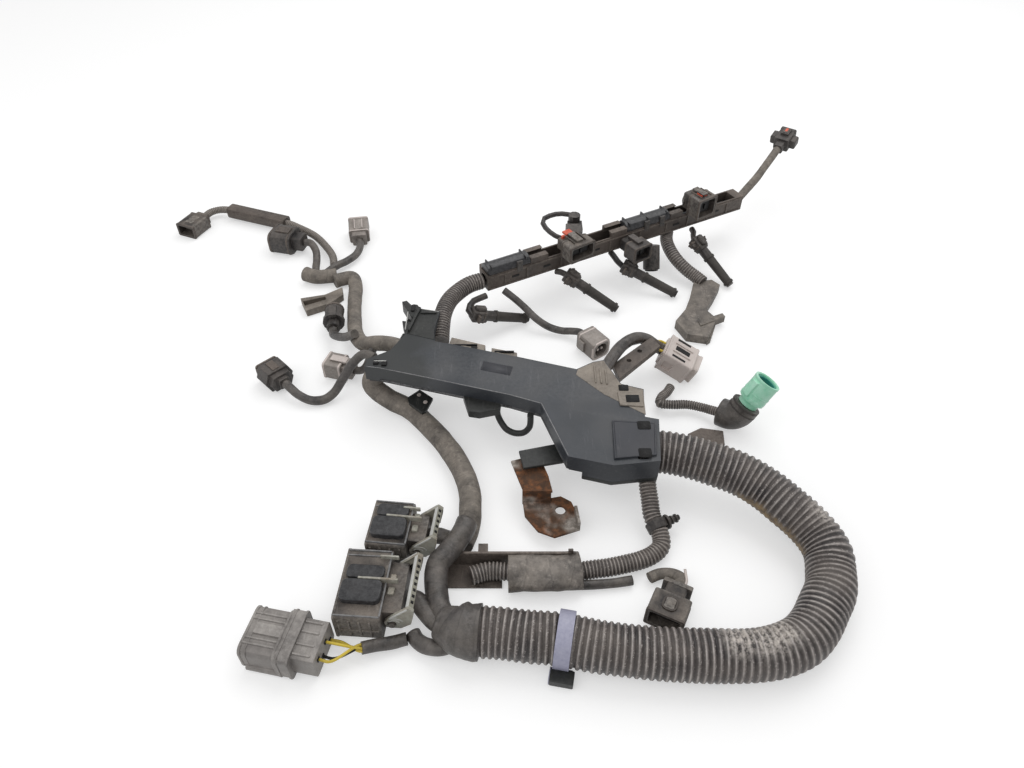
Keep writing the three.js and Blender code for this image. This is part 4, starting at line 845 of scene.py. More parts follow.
taped("white_lead", 0.012, "dark tape", seed=29)
taped("boot", 0.028, "dark tape", seed=30, lumps=0.03, node="green_boot")
taped("lower_tail", 0.008, "dark tape", seed=31, node="lower_tape")
taped("lower_wrap", 0.019, "blotched tape", 36, seed=34, lumps=0.17, node="lower_tape",
    squash=(1.75, 1.0))
taped("square_lead", 0.008, "dark tape", seed=32, node="square_plug")
taped("loop", 0.006, "wing", seed=33, lumps=0.02, node="trough_loop")
print("cords:", len(CORDS))

# %% [markdown]
# ### Tape over the mouth of the wide conduit
# Where the bundles go into the conduit, tape is wound over both, so the branch swells from the width of
# the bundles to a little more than the conduit's. The radius is read from four places along that run.

# %% Tape over the mouth
MOUTH_ROUTE = [[-55, -330, 18], [-44, -335, 18.5], [-34, -337.5, 19], [-24, -338.5, 19]]
MOUTH_PLACES = [0, 0.25, 0.6, 1]                  # as shares of the run
MOUTH_RADII = [0.0125, 0.0160, 0.0206, 0.0209]    # metres
MOUTH_COLUMNS = 48

mouth, mouth_run = smooth_path(MOUTH_ROUTE, 0.0012)
swell = np.interp(mouth_run / mouth_run[-1], MOUTH_PLACES, MOUTH_RADII)[:, None]
swell = swell * (1 + 0.05 * soft_noise(len(mouth_run), MOUTH_COLUMNS, 61, 8, 6))
new_object("mouth_wrap", tube_mesh("mouth_wrap", sweep(mouth, swell, MOUTH_COLUMNS), mouth_run),
    "dark tape")
print("mouth wrap:", round(float(mouth_run[-1]), 3), "m long")


# %% Single wires
def wire(name, points, diameter, finish, columns=12):
    """A plain round wire through layout points: a tube of one radius; diameter in millimetres."""
    line, along = smooth_path(points, 0.0015)
    mesh = tube_mesh(name, sweep(line, np.full((len(along), columns), diameter * MM / 2), columns), along)
    new_object(name, mesh, finish)


# %% [markdown]
# ## Moulded pieces
# A moulding's edges are never knife sharp. Each rigid piece starts as its CAD solid, with the flat
# faces joined up, and gets a small round on every edge, which catches the light. Modelling the pieces
# again would risk another size; a copy of the solid keeps it. The copy is merged first, because a packed
# mesh is loose triangles, and a bevel can't round an edge that no two faces share.

# %% Rounded copies of the CAD solids
ROUND_FROM = 28      # degrees between two faces, from which their edge is rounded
ROUND_STEPS = 2      # faces across a rounded edge
MOULDED_ROUND = 0.7  # millimetres
MERGE = 2e-6         # metres; points nearer than this are one
FLAT = 1.5           # degrees; faces nearer to one plane than this are joined


def soften(piece, radius):
    """Rounds every edge of a piece that is sharper than ROUND_FROM by a radius in millimetres."""
    round_off = piece.modifiers.new("round", "BEVEL")
    round_off.width = radius * MM
    round_off.segments = ROUND_STEPS
    round_off.limit_method = "ANGLE"
    round_off.angle_limit = math.radians(ROUND_FROM)
    even = piece.modifiers.new("even", "WEIGHTED_NORMAL")
    even.keep_sharp = True


def dress(node, finish):
    """A copy of a CAD node: points on the same spot of a fine grid made one, triangles that this closes
    up left out, flat faces joined, and the edges rounded."""
    source = nodes[node].data
    co = np.empty(len(source.vertices) * 3, np.float32)
    source.vertices.foreach_get("co", co)
    corners = np.empty(len(source.loops), np.int32)
    source.loops.foreach_get("vertex_index", corners)
    keys, first, inverse = np.unique(np.round(co.reshape(-1, 3) / MERGE).astype(np.int64), axis=0,
        return_index=True, return_inverse=True)
    faces = inverse.reshape(-1)[corners].reshape(-1, 3)
    real = (faces[:, 0] != faces[:, 1]) & (faces[:, 1] != faces[:, 2]) & (faces[:, 0] != faces[:, 2])
    mesh = bpy.data.meshes.new(node + "_look")
    mesh.from_pydata(co.reshape(-1, 3)[first].tolist(), [], faces[real].tolist())
    work = bmesh.new()
    work.from_mesh(mesh)
    bmesh.ops.dissolve_limit(work, angle_limit=math.radians(FLAT), verts=work.verts[:],
        edges=work.edges[:])
    work.to_mesh(mesh)
    work.free()
    mesh.polygons.foreach_set("use_smooth", np.ones(len(mesh.polygons), bool))
    body = next(b for b, members in frame["record"]["behaviour"]["bodies"].items() if node in members)
    piece = new_object(node + "_look", mesh, finish, body)
    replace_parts(piece, node)
    soften(piece, MOULDED_ROUND)


DRESSED = {
    "trough": ["trough_cover"],
    "wing": ["trough_base", "bracket_arm"],
    "housing": ["ecu_a_housing", "ecu_b_housing", "lower_plug", "small_plug", "injector_plug_1",
        "injector_plug_3"],
    "black": ["push_clip", "round_plug", "sensor_plug", "oval_plug", "injector_plug_2", "injector_plug_4",
        "barrel_plug", "glow_plug_1", "glow_plug_2", "glow_plug_3", "glow_plug_4", "injector_cap_1"],
    "gloss": ["rail_cover_left", "rail_cover_right"],
    "brown": ["rail_channel", "channel_guide", "guide_bar", "brown_clip", "white_lead"],
    "taupe": ["taupe_clip"],
    "grey": ["grey_plug"],
    "pale": ["upright_plug", "pale_plug", "square_plug"],
    "wrap": ["flat_guide"],
    "light": ["white_plug"],
    "lever": ["ecu_a_lever", "ecu_b_lever"],
    "green": ["green_plug"],
    "clamp": ["conduit_band"],
    "rust": ["steel_bracket"],
}
for finish, names in DRESSED.items():
    for name in names:
        dress(name, finish)
print("dressed pieces:", sum(len(n) for n in DRESSED.values()))


# %% [markdown]
# ## Small solids
# The smallest forms are boxes, drums and rims in the local frame of the piece they stand on. A plug's
# frame has its x along the way it faces, as in the CAD source, and its z as near to up as that leaves.
# So a rib or a latch is written as it would be measured on the plug in the hand, and the frame puts it
# on the plug wherever that lies. A frame is an origin in metres and three axes as the rows of a matrix.

# %% Where a piece stands
PLUG_GAP = 0.3  # millimetres from the end of a lead to its plug


def aim(origin, direction):
    """The frame at a layout point with x along a direction, y square to x and to up, z square to both."""
    x = np.array(direction, float) / np.linalg.norm(direction)
    y = np.cross((0, 0, 1), x)
    y /= np.linalg.norm(y)
    return (np.array(origin, float) + SHIFT) * MM, np.array([x, y, np.cross(x, y)])


def at_end(name):
    """The frame of the plug on the end of a route, PLUG_GAP past its last point, facing the same way."""
    a, b = np.array(ROUTES[name][-2:], float)
    way = (b - a) / np.linalg.norm(b - a)
    return aim(b + way * PLUG_GAP, way)


def turned(x, y, turn, tilt=0, out=0, rise=0):
    """The frame of a piece turned in plan, in degrees, at a rise above the floor. A lever's is also
    tilted up about y, at a pivot that lies out along x."""
    t, a = math.radians(turn), math.radians(tilt)
    axes = np.array([[math.cos(t) * math.cos(a), math.sin(t) * math.cos(a), math.sin(a)],
        [-math.sin(t), math.cos(t), 0],
        [-math.cos(t) * math.sin(a), -math.sin(t) * math.sin(a), math.cos(a)]])
    origin = (np.array([x + out * math.cos(t), y + out * math.sin(t), rise]) + SHIFT) * MM
    return origin, axes


LAYOUT = (SHIFT * MM, np.eye(3))  # the frame of the layout itself
print("the grey plug's lead ends at", np.round(at_end("plug_lead")[0], 3))


# %% Boxes, drums and rims
def block(low, high):
    """The corners and faces of a box between two local corners, in millimetres."""
    corners = np.array([[i >> 2 & 1, i >> 1 & 1, i & 1] for i in range(8)])
    points = np.array(low, float) + corners * (np.array(high, float) - np.array(low, float))
    return points, [(0, 1, 3, 2), (4, 6, 7, 5), (0, 4, 5, 1), (2, 3, 7, 6), (0, 2, 6, 4), (1, 5, 7, 3)]


def prism(outline, bottom, top):
    """The corners and faces of an outline, anticlockwise in x and y, raised from bottom to top."""
    flat = np.array(outline, float)
    n = len(flat)
    points = np.vstack([np.column_stack([flat, np.full(n, z)]) for z in (bottom, top)])
    sides = [(i, (i + 1) % n, n + (i + 1) % n, n + i) for i in range(n)]
    return points, [tuple(range(n - 1, -1, -1)), tuple(range(n, 2 * n))] + sides


def drum(start, end, radius, tip=None, sides=20):
    """A round bar between two local points; tip is its radius at the far end, when it tapers."""
    start, end = np.array(start, float), np.array(end, float)
    way = (end - start) / np.linalg.norm(end - start)
    side = np.cross(way, [0.31, 0.52, 0.79])
    side /= np.linalg.norm(side)
    turn = np.linspace(0, 2 * np.pi, sides, endpoint=False)[:, None]
    circle = np.cos(turn) * side + np.sin(turn) * np.cross(way, side)
    points = np.vstack([start + radius * circle, end + (radius if tip is None else tip) * circle])
    walls = [(i, (i + 1) % sides, sides + (i + 1) % sides, sides + i) for i in range(sides)]
    return points, [tuple(range(sides - 1, -1, -1)), tuple(range(sides, 2 * sides))] + walls


def rounded(width, height, radius, per=5):
    """A rectangle with round corners, anticlockwise, about the origin: four quarter circles of per
    points each, whose middles are the corners of a smaller rectangle."""
    turn = np.concatenate([np.linspace(a, a + np.pi / 2, per) for a in np.arange(4) * np.pi / 2])
    middle = np.repeat([[1, 1], [-1, 1], [-1, -1], [1, -1]], per, axis=0) \
        * np.array([width / 2 - radius, height / 2 - radius])
    return middle + radius * np.column_stack([np.cos(turn), np.sin(turn)])


def rim(x0, x1, width, height, radius, wall, y=0, z=0):
    """A collar with round corners between two places along local x: an outer and an inner outline,
    joined into a ring of four walls. wall is its thickness, and y and z move it off the axis."""
    outer = rounded(width, height, radius)
    inner = rounded(width - 2 * wall, height - 2 * wall, max(radius - wall, 0.3))
    loops = [(x0, outer), (x1, outer), (x1, inner), (x0, inner)]
    points = np.vstack([np.column_stack([np.full(len(o), x), o + [y, z]]) for x, o in loops])
    n = len(outer)
    faces = [(k * n + i, k * n + (i + 1) % n, (k + 1) % 4 * n + (i + 1) % n, (k + 1) % 4 * n + i)
        for k in range(4) for i in range(n)]
    return points, faces


def upright_rim(outline, bottom, top, wall):
    """A raised border round an outline in x and y. Its inner edge is the outline, each corner moved
    towards the middle by the wall."""
    outer = np.array(outline, float)
    middle = outer.mean(axis=0)
    reach = np.linalg.norm(outer - middle, axis=1)[:, None]
    inner = middle + (outer - middle) * (1 - wall / reach)
    n = len(outer)
    loops = [(outer, bottom), (outer, top), (inner, top), (inner, bottom)]
    points = np.vstack([np.column_stack([o, np.full(n, z)]) for o, z in loops])
    faces = [(k * n + i, k * n + (i + 1) % n, (k + 1) % 4 * n + (i + 1) % n, (k + 1) % 4 * n + i)
        for k in range(4) for i in range(n)]
    return points, faces


def details(name, place, shapes, finish, body="harness", soft=0.3):
    """One piece of several small solids: local millimetres times the frame's axes, plus its origin.
    soft is the round on its edges in millimetres, and 0 leaves them sharp."""
    origin, axes = place
    points, faces, start = [], [], 0
    for corners, sides in shapes:
        points.append(origin + (corners * MM) @ axes)
        faces += [tuple(start + v for v in side) for side in sides]
        start += len(corners)
    mesh = bpy.data.meshes.new(name)
    mesh.from_pydata(np.vstack(points).tolist(), [], faces)
    mesh.polygons.foreach_set("use_smooth", np.ones(len(faces), bool))
    piece = new_object(name, mesh, finish, body)
    if soft:
        soften(piece, soft)
    return piece


# %% [markdown]
# ## Control unit connectors
# The two big connectors plug into the control unit, and a lever draws each one home. Each has two dark
# rounded bars on its dusty block, with thin pale ridges where the mould's edges are rubbed, and rows of dark
# strips of painted shade in its mouth where the cells lie. Its lever has two cheeks with raised arcs, a
# slotted bar whose slots are dark strips of painted shade, and a worn white edge. Both connectors are one
# design in two sizes, so one function makes them from length and width. What is on the lever rides with the
# lever.

# %% Bars and ridges on a connector
HOUSING_TOP = 30.0          # height of both connectors
PIVOT_OUT, PIVOT_UP = 7, 15  # a lever's pivot, beyond the block and above the floor
LEVER_REST = 45             # degrees that a lever stands up from flat in the photograph


def rounded_at(x0, x1, y0, y1, radius):
    """A rectangle with round corners between two places in x and in y."""
    return rounded(x1 - x0, y1 - y0, radius) + [(x0 + x1) / 2, (y0 + y1) / 2]


def connector(letter, x, y, turn, length, width):
    """The small forms of one connector and of its lever. Its frame's x runs from the mouth to the
    lever, so the block reaches from -length to 0; middle is the y of its wide bar."""
    half, top, name = width / 2, HOUSING_TOP, "ecu_" + letter
    place = turned(x, y, turn)
    middle = -0.3 * half
    details(name + "_bars", place, [
        prism(rounded_at(-length + 2, -2, middle - 9.6, middle + 9.6, 5), top - 1, top + 5.7),
        prism(rounded_at(-length + 3, -3, middle + 12, min(middle + 24, half - 4), 4), top - 1, top + 3)],
        "gloss", soft=1.2)
    ridges = [block([-length + 0.5, half - 3, top - 0.5], [-1, half - 1.8, top + 1.4]),
        block([-length + 0.5, half - 7.5, top - 0.5], [-3, half - 6.5, top + 1.0]),
        block([-length - 0.3, -half + 1.5, top - 0.5], [-0.5, -half + 2.5, top + 1.2]),
        block([-1.2, -half + 3, top - 0.5], [0.2, half - 3, top + 0.9])]
    details(name + "_ridges", place, ridges, "edge", soft=0.25)
    between = middle + 10.8
    arm = [block([-0.62 * length, between - 0.9, top - 0.5], [9, between + 0.9, top + 5.4]),
        block([-0.25 * length, half - 9, top - 0.5], [6, half - 7.4, top + 4])]
    details(name + "_arms", place, arm, "lever", soft=0.5)
    details(name + "_slides", place, [block([1.5, between + 3, top - 5], [6, between + 8.5, top - 1.6]),
        block([1.5, between - 9, top - 5], [6.5, between - 3, top - 1.6])], "lever", soft=0.6)
    wall = [block([-length + 3 + 8 * k, -half - 0.9, 4], [-length + 4.6 + 8 * k, -half + 1, 26])
        for k in range(int(length / 8))]
    wall += [block([-length + 2, -half - 0.8, 12], [-2, -half + 1, 13.6]),
        rim(-length - 0.5, -length + 1.5, width + 1, top + 0.6, 3, 1.6, 0, top / 2)]
    details(name + "_walls", place, wall, "housing", soft=0.3)
    # Painted shade: dark strips in the mouth where the cells lie.
    cell_shade_blocks = [block([-length - 0.2, y0, 8], [-length + 4, y0 + 1.1, 22])
        for y0 in np.arange(-half + 8, half - 8, 6)]
    details(name + "_cells", place, cell_shade_blocks, "dark", soft=0.15)
    lever = turned(x, y, turn, LEVER_REST, PIVOT_OUT, PIVOT_UP)
    inner = half - 8.7
    marks = []
    for side in (-1, 1):
        face = side * (inner + 2.6)
        for radius in (5.4, 8.6):
            bend = np.radians(np.linspace(-100, 20, 9))
            line = np.column_stack([radius * np.cos(bend) + 1, np.full(9, face),
                -radius * np.sin(bend) * 0.8 - 1])
            line = line[(line[:, 2] < 5.6) & (line[:, 2] > -6.6)]
            marks += [drum(a, b, 0.55, sides=8) for a, b in zip(line[:-1], line[1:])]
        marks.append(block([4, face - 0.5, 5.2], [25, face + 0.5, 6.5]))
    marks.append(block([23.3, -inner, 5.4], [26.6, inner, 6.5]))
    slot_places = np.arange(-inner + 3, inner - 3, 5.2)
    marks += [block([22.8, y0, 1.6], [23.8, y0 + 2.2, 6.2]) for y0 in slot_places]
    details(name + "_lever_marks", lever, marks, "white line", "lever_" + letter, soft=0.2)
    # Painted shade: thin dark strips in the lever's bar where its slots are.
    slot_shade = [block([26.55, y0, 2.4], [26.95, y0 + 2.4, 5.0]) for y0 in slot_places]
    details(name + "_lever_slot_shade", lever, slot_shade, "dark", "lever_" + letter, soft=0)


connector("a", x=-84, y=-248, turn=-6, length=33, width=45)
connector("b", x=-97, y=-304, turn=-4, length=36, width=62)
details("band_foot", aim((40.5, -344.8, 19), (1, -0.19, 0)),
    [block([-8.6, -28.6, -18.4], [9.6, -17.6, -10.4])], "wing", soft=1)
print("connectors: 2")

# %% [markdown]
# ## Trough
# The trough is a tray with a snapped on cover, which holds the branches over the engine. The cover's near
# edge is rubbed to a thin light line, and the cover's skirt ends in a lip below it. The neck has a rimmed
# panel with two windows, which are black patches of painted shade for the dark inside them. The forms are
# thin and flat, so they are outlines raised a little above the cover's top rather than cuts into it, and the
# CAD solid underneath stays whole.

# %% Edge line, lip and panel
TOP = 60.0          # height of the cover above the floor
SKIRT = 15          # from the cover's top down to its lip
NEAR_EDGE = [(-138, -88.2), (-126, -90.2), (-73, -105.2), (-2, -126.2), (26.6, -137.2), (47.6, -199.2)]

details("trough_edge", LAYOUT, [drum((*a, TOP - 0.35), (*b, TOP - 0.35), 0.5, sides=8)
    for a, b in zip(NEAR_EDGE[:-1], NEAR_EDGE[1:])], "edge", soft=0)
lip = np.array(NEAR_EDGE[1:]) + [0, -0.6]
details("trough_lip", LAYOUT, [drum((*a, TOP - SKIRT), (*b, TOP - SKIRT), 1.2, sides=8)
    for a, b in zip(lip[:-1], lip[1:])], "gloss", soft=0)
panel = [(86, -204), (122, -200), (126, -163), (88, -160)]
details("panel_rim", LAYOUT, [upright_rim(panel, TOP + 1, TOP + 2.2, 2.2)], "panel", soft=0.5)
details("panel_top", LAYOUT, [prism([(88, -202.5), (120.5, -199), (124.5, -164), (89.5, -161.5)], TOP + 1.2,
    TOP + 1.9)], "panel", soft=0.3)
# Painted shade: the two windows are black patches for the dark inside them.
details("window_shade", LAYOUT, [prism(rounded_at(109.5, 121, -171, -161.5, 1.6), TOP + 1.4, TOP + 2.35),
    prism(rounded_at(107, 118, -203, -193, 1.6), TOP + 1.4, TOP + 2.35)], "dark", soft=0)

# %% [markdown]
# ### The trough's corner and wing
# The far right corner has a dusty cap with ridges and two pockets, which are dark patches of painted shade.
# The left wing has its own cap, a low wall, and a smooth patch where a label was.

# %% Corner and wing
details("corner_cap", LAYOUT, [prism([(60, -100), (84, -126), (119, -152), (120.2, -120), (100.6, -113),
    (87.6, -80.2), (77, -83.2), (62, -92.6)], TOP - 0.5, TOP + 0.7)], "taupe", soft=0.6)
corner = [block([77 + 5 * k, -112 - k, TOP], [78.4 + 5 * k, -89 - 3 * k, TOP + 2.2]) for k in range(3)]
corner += [block([98, -126.4, TOP], [117, -124.6, TOP + 2.4]),
    prism([(97, -141), (118, -143), (119, -125), (96, -124)], TOP, TOP + 2)]
details("corner_ridges", LAYOUT, corner, "taupe", soft=0.6)
# Painted shade: the two pockets are deep black patches raised over the cap.
details("pocket_shade", LAYOUT, [prism(rounded_at(98, 107, -122, -114.5, 1), TOP - 1, TOP + 1.2),
    prism(rounded_at(103, 115, -138, -129, 1), TOP - 1, TOP + 2.5)], "dark", soft=0)
details("wing_cap", LAYOUT, [prism([(-105, -40), (-76.5, -50), (-78.5, -33), (-75, -6), (-95, -1.2)],
    TOP - 0.5, TOP + 0.5)], "wing", soft=0.4)
details("wing_wall", LAYOUT, [prism([(-104, -38), (-101.5, -39), (-93, -3), (-95.5, -2)], TOP, TOP + 4),
    block([-93, -10, TOP], [-77, -7.6, TOP + 2.2])], "wing", soft=0.5)
details("label_patch", LAYOUT, [prism([(-30, -93), (-2, -101), (1, -89), (-27, -81)], TOP - 0.3, TOP + 0.15)],
    "panel", soft=0)

# %% [markdown]
# ### Catches, clips and the neck
# The far edge has two catches that hold the cover down, and the left wing has prongs and a clip. Each is
# an outline raised from the trough's underside to its own height. The neck's tray and the collar round
# the conduit's end are made here because the CAD tray stops short of them.

# %% Catches, clips and neck
UNDERSIDE = 40  # of the trough, above the floor
CATCHES = [  # finish, height, outline
    ("taupe", 57, [(-60, -42), (-64, -62), (-28, -72), (-26, -54)]),
    ("taupe", 57, [(-20, -58), (-20, -72), (5, -80), (5, -65)]),
    ("wing", 54, [(-104, -6), (-92, -14), (-92, -4), (-111, 21), (-116, 19)]),
    ("wing", 54, [(-98, -4), (-92, -10), (-90, -2), (-99, 14), (-104, 15)]),
    ("wing", 52, [(-108, -30), (-96, -30), (-94, -14), (-113, -10)]),
]
for number, (finish, height, outline) in enumerate(CATCHES, 1):
    details("catch_%d" % number, LAYOUT, [prism(outline, UNDERSIDE, height)], finish, soft=0.7)
neck = [(60, -203), (85, -210), (125, -205), (130, -157), (118, -154), (70, -150)]
details("neck_tray", LAYOUT, [prism(neck, 33, 38.4)], "wing", soft=0.8)
catches = [block([-58, -56, 52], [-34, -54.6, 59]), block([-17, -66, 52], [2, -64.4, 59]),
    block([-56, -60, 57], [-50, -54, 58.4]), block([-40, -63, 57], [-34, -57, 58.4])]
details("catch_bars", LAYOUT, catches, "dark", soft=0.3)
details("catch_tops", LAYOUT, [prism([(-58, -60), (-34, -67), (-32, -61), (-55, -53)], 56.6, 58.2),
    prism([(-16, -71), (2, -77), (2, -71), (-16, -65)], 56.6, 58.2)], "taupe", soft=0.5)
clips = [block([-132, -86, TOP - 1], [-127, -80, TOP + 2]), block([-124, -88, TOP - 1], [-119, -82, TOP + 2]),
    block([-101, -20, 52], [-97, -8, 55]), block([-105, 2, 53], [-101, 12, 55.5])]
details("wing_clips", LAYOUT, clips, "dark", soft=0.5)
details("wing_lines", LAYOUT, [block([-131.4, -83.4, TOP + 1.8], [-119.6, -82.6, TOP + 2.5]),
    block([-107, -34, TOP - 0.3], [-106, -6, TOP + 0.6]),
    drum((-95, -1, TOP - 0.2), (-75, -5.6, TOP - 0.2), 0.6, sides=8)], "white line", soft=0)
collar = aim((114, -175, 38), (1, 0, 0))
details("neck_collar", collar, [rim(0, 9, 44.6, 44.6, 22.29, 2.6), rim(-6, 1, 46, 46, 22.99, 3.4)],
    "taupe", soft=0.5)
plate = prism([(-100, -101), (-86, -114), (-82, -110), (-77, -94), (-91, -82), (-102, -93)], 20, 23.5)
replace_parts(details("plate_clip_look", LAYOUT, [plate], "wing", soft=0.6), "plate_clip")
details("plate_marks", LAYOUT, [drum((x, y, 20.4), (x, y, 24.1), 2.1, sides=16)
    for x, y in ((-84, -100), (-91, -90))], "light", soft=0.2)
details("loop_wedge", LAYOUT, [prism([(-40, -134), (-30, -136), (-11, -131), (-10, -118.5), (-46, -112.5)],
    38, 46.5)], "wing", soft=0.8)
print("trough details made, with", len(CATCHES), "catches")

# %% [markdown]
# ## Rail
# The rail carries the wires along the injectors. Its near side is dusty brown, with ledges, posts and small
# slots, which are thin dark strips of painted shade, and its lids are smooth and dark with ribs across.
# Everything on it is written in the rail's own frame, whose x runs along it from its left end, so a row of
# posts is a row of x values.

# %% The rail's frame
RAIL_X, RAIL_Y, RAIL_Z, RAIL_TURN = -31, 64, 40, 28.4  # left end, underside, and degrees from x
NEAR_WALL = -11                                       # y of the rail's near side, with its ledges
LEDGE_END = 352
POSTS = (20, 48, 92, 128, 158, 200, 238, 270, 300, 330)
SLOT_PLACES = (30, 70, 136, 176, 250, 310)
LID_RIBS = (6, 48, 186, 212, 240)
RAIL = turned(RAIL_X, RAIL_Y, RAIL_TURN, rise=RAIL_Z)


def on_rail(point, direction):
    """The frame of a plug given in the rail's own millimetres: the point and the way it faces, turned
    in plan by the rail's angle and moved to its end."""
    turn = math.radians(RAIL_TURN)
    c, s = math.cos(turn), math.sin(turn)
    x, y, z = point
    u, v, w = direction
    return aim((RAIL_X + c * x - s * y, RAIL_Y + s * x + c * y, RAIL_Z + z),
        (c * u - s * v, s * u + c * v, w))


# %% The rail's near side, lids and floor
details("rail_ledge", RAIL, [block([2, NEAR_WALL, 15.4], [LEDGE_END, -9.6, 17.4]),
    block([2, -10.9, 1], [LEDGE_END, -9.7, 2.6])]
    + [block([x, NEAR_WALL, 3], [x + 2, -9.7, 16]) for x in POSTS], "brown")
# Painted shade: the slots are thin dark strips on the rail's near side.
details("rail_slot_shade", RAIL, [block([x, -10.6, 8], [x + 9, -9.9, 10.4]) for x in SLOT_PLACES], "dark",
    soft=0.2)
details("rail_lid_ribs", RAIL, [block([x, -8.6, 25], [x + 1.6, 8.6, 28.6]) for x in LID_RIBS], "gloss")
details("rail_clips", RAIL, [block([x, -11.4, 14], [x + 7, -9, 27]) for x in (36, 206, 228)], "black",
    soft=0.6)
details("rail_floor", RAIL, [block([247, -7.6, 2], [343, 7.6, 3])]
    + [block([x, -7.8, 2.2], [x + 1.6, 7.8, 12]) for x in (272, 296, 320)], "dark", soft=0.2)
details("rail_wires", RAIL, [drum((247, y, 9 + y / 4), (342, y, 9 - y / 4), 1.6, sides=10)
    for y in (-4, 0, 4)], "gloss", soft=0)
print("rail: posts", len(POSTS), "slot_shade", len(SLOT_PLACES), "lid ribs", len(LID_RIBS))

# %% [markdown]
# ### Plugs on the rail
# Three injector plugs sit on the rail and face the viewer; the fourth hangs on a lead past its end. Each
# mouth has a worn rim, a second rim where the cap ends, and inside it dark blocks of painted shade where the
# cells lie. The first has a red lock and the third a red window, which are the only strong colours here, so
# they are pieces of their own.

# %% Plugs on the rail
TO_VIEWER = (0.1, -1, 0)  # the way they face, in the rail's frame
first = on_rail((104, -2, 29.4), TO_VIEWER)
third = on_rail((279, 2, 32.4), TO_VIEWER)
second = on_rail((181, -11.4, 8), TO_VIEWER)
details("first_rim", first, [rim(28.5, 30.4, 34.6, 20.6, 3, 1.6), rim(13, 15, 34.4, 20.4, 3, 1),
    block([6, -8, 9.6], [24, -6.8, 12]), block([6, 6.8, 9.6], [24, 8, 12])], "brown")
details("first_lock", first, [block([-3, -5, 9], [5, 5, 11.4]), block([2, -10, 6], [5, -6, 10.4])], "red",
    soft=0.5)
details("second_rim", second, [rim(28.5, 30.4, 26.6, 20.6, 3, 1.6), rim(13, 15, 26.4, 20.4, 3, 1)], "brown")
details("third_rim", third, [rim(28.5, 30.4, 29.6, 26.6, 3, 1.6), rim(13, 15, 29.4, 26.4, 3, 1),
    block([8, -8, 12.6], [26, -7, 14.6]), block([8, 7, 12.6], [26, 8, 14.6])], "brown")
details("third_window", third, [upright_rim(rounded_at(14, 24, -5, 5, 2), 12.8, 14.4, 1.6)], "red", soft=0.3)
details("third_shoulder", third, [drum((-3, 0, -2), (3, 0, -2), 9, 12)], "black", soft=0.6)
# Painted shade: dark blocks inside each mouth where the cells lie.
for place, name, wide, high in ((first, "first", 28, 14), (second, "second", 20, 14),
        (third, "third", 23, 20)):
    details(name + "_cells", place, [
        block([21, -wide / 2 + 3, -high / 2 + 3], [24.5, wide / 2 - 3, high / 2 - 3]),
        block([24, -1, -3], [26.5, 1, 3])], "dark", soft=0.4)
last = at_end("injector_lead_4")
details("last_lock", last, [block([20, -3.4, 9.2], [29, 3.4, 12.7]),
    rim(30.5, 34.3, 20.6, 18.6, 2, 1.6)], "black")
details("last_red", last, [block([22, -1.6, 12.4], [28, 1.6, 13.2]), block([26, -4, -2], [31, 4, 2])], "red",
    soft=0.4)
print("injector plugs: 4")

# %% [markdown]
# ### Glow plug connectors
# Four slim connectors hang from the rail, each with a winged head and a rubber sleeve that grips a glow
# plug. They are one moulding in four places, so the loop needs only where each head and each tip lies.

# %% Glow plug connectors
GLOW_ENDS = [((65, 90, 34), (120, 66, 6)), ((134, 119, 26), (190, 96, 6)),
    ((222, 160, 34), (257, 116, 6)), ((-39, 26, 30), (18, 50, 6))]  # head, tip
for number, (head, tip) in enumerate(GLOW_ENDS, 1):
    place = aim(head, np.array(tip, float) - head)
    name = "glow_%d" % number
    details(name + "_wings", place, [block([-1.5, -12.3, -3], [1, 12.3, 5]),
        block([3.6, -11, -1.4], [5, 11, 3.4]), block([7, -7.2, -6], [8.4, 7.2, 7])], "brown", soft=0.5)
    details(name + "_sleeve", place, [drum((24, 0, 0), (63, 0, 0), 5.6, 5.1),
        rim(23, 26, 13.6, 13.6, 6.79, 1.5), rim(60.5, 63.5, 12, 12, 5.99, 1)], "rubber", soft=0.4)
    details(name + "_head", place, [block([-5.5, -6.6, -6], [11, 6.6, 7.2]),
        block([-2, -3.6, 6], [9, 3.6, 10.8])], "black", soft=1.4)
print("glow plug connectors:", len(GLOW_ENDS))

# %% [markdown]
# ## Plugs
# Every mouth has a worn rim, ribs or a latch, and inside most of them a dark block of painted shade where the
# cells lie. The CAD solids have the mouths; what is added here is what is seen in them from a step away. The
# big grey plug is the nearest: it has ribs along its top, rings round it, and four wires that fan out from a
# taped lead to its back.

# %% Grey plug
WIRE_ENDS = [(10, 4), (4, -3), (-4, 4), (-10, -4)]  # y and z of the wires on the plug's back
grey = aim((-140, -349.5, 13.7), (-0.98, 0.2, 0))
details("grey_ribs", grey, [block([29, y, 12.6], [57, y + 1.6, 13.9]) for y in (-13, -8.5, 7, 11.5)]
    + [block([30, -4.5, 12.6], [52, 4.5, 14.6]), rim(29.5, 31.5, 43, 28.4, 7, 1.5),
        rim(52, 53.2, 40.9, 27, 6.2, 1)]
    + [block([4, y, 11], [18, y + 1.6, 12.6]) for y in (-14, -6, 4, 12)], "grey", soft=0.5)
details("grey_rim", grey, [rim(56.4, 58.6, 41, 27, 6.4, 1.8), rim(18.2, 20.4, 45.4, 28.2, 5, 1.2),
    rim(26.5, 28.4, 45.4, 28.2, 5, 1.2)], "grey", soft=0.5)
details("grey_cells", grey, [block([38, y, z], [50, y + 4, z + 4])
    for y in (-11, -5, 1, 7) for z in (-5, 1)], "pale", soft=0.5)
details("grey_back", grey, [block([-0.6, y - 1.8, z - 1.8], [1, y + 1.8, z + 1.8]) for y, z in WIRE_ENDS],
    "dark", soft=0.3)

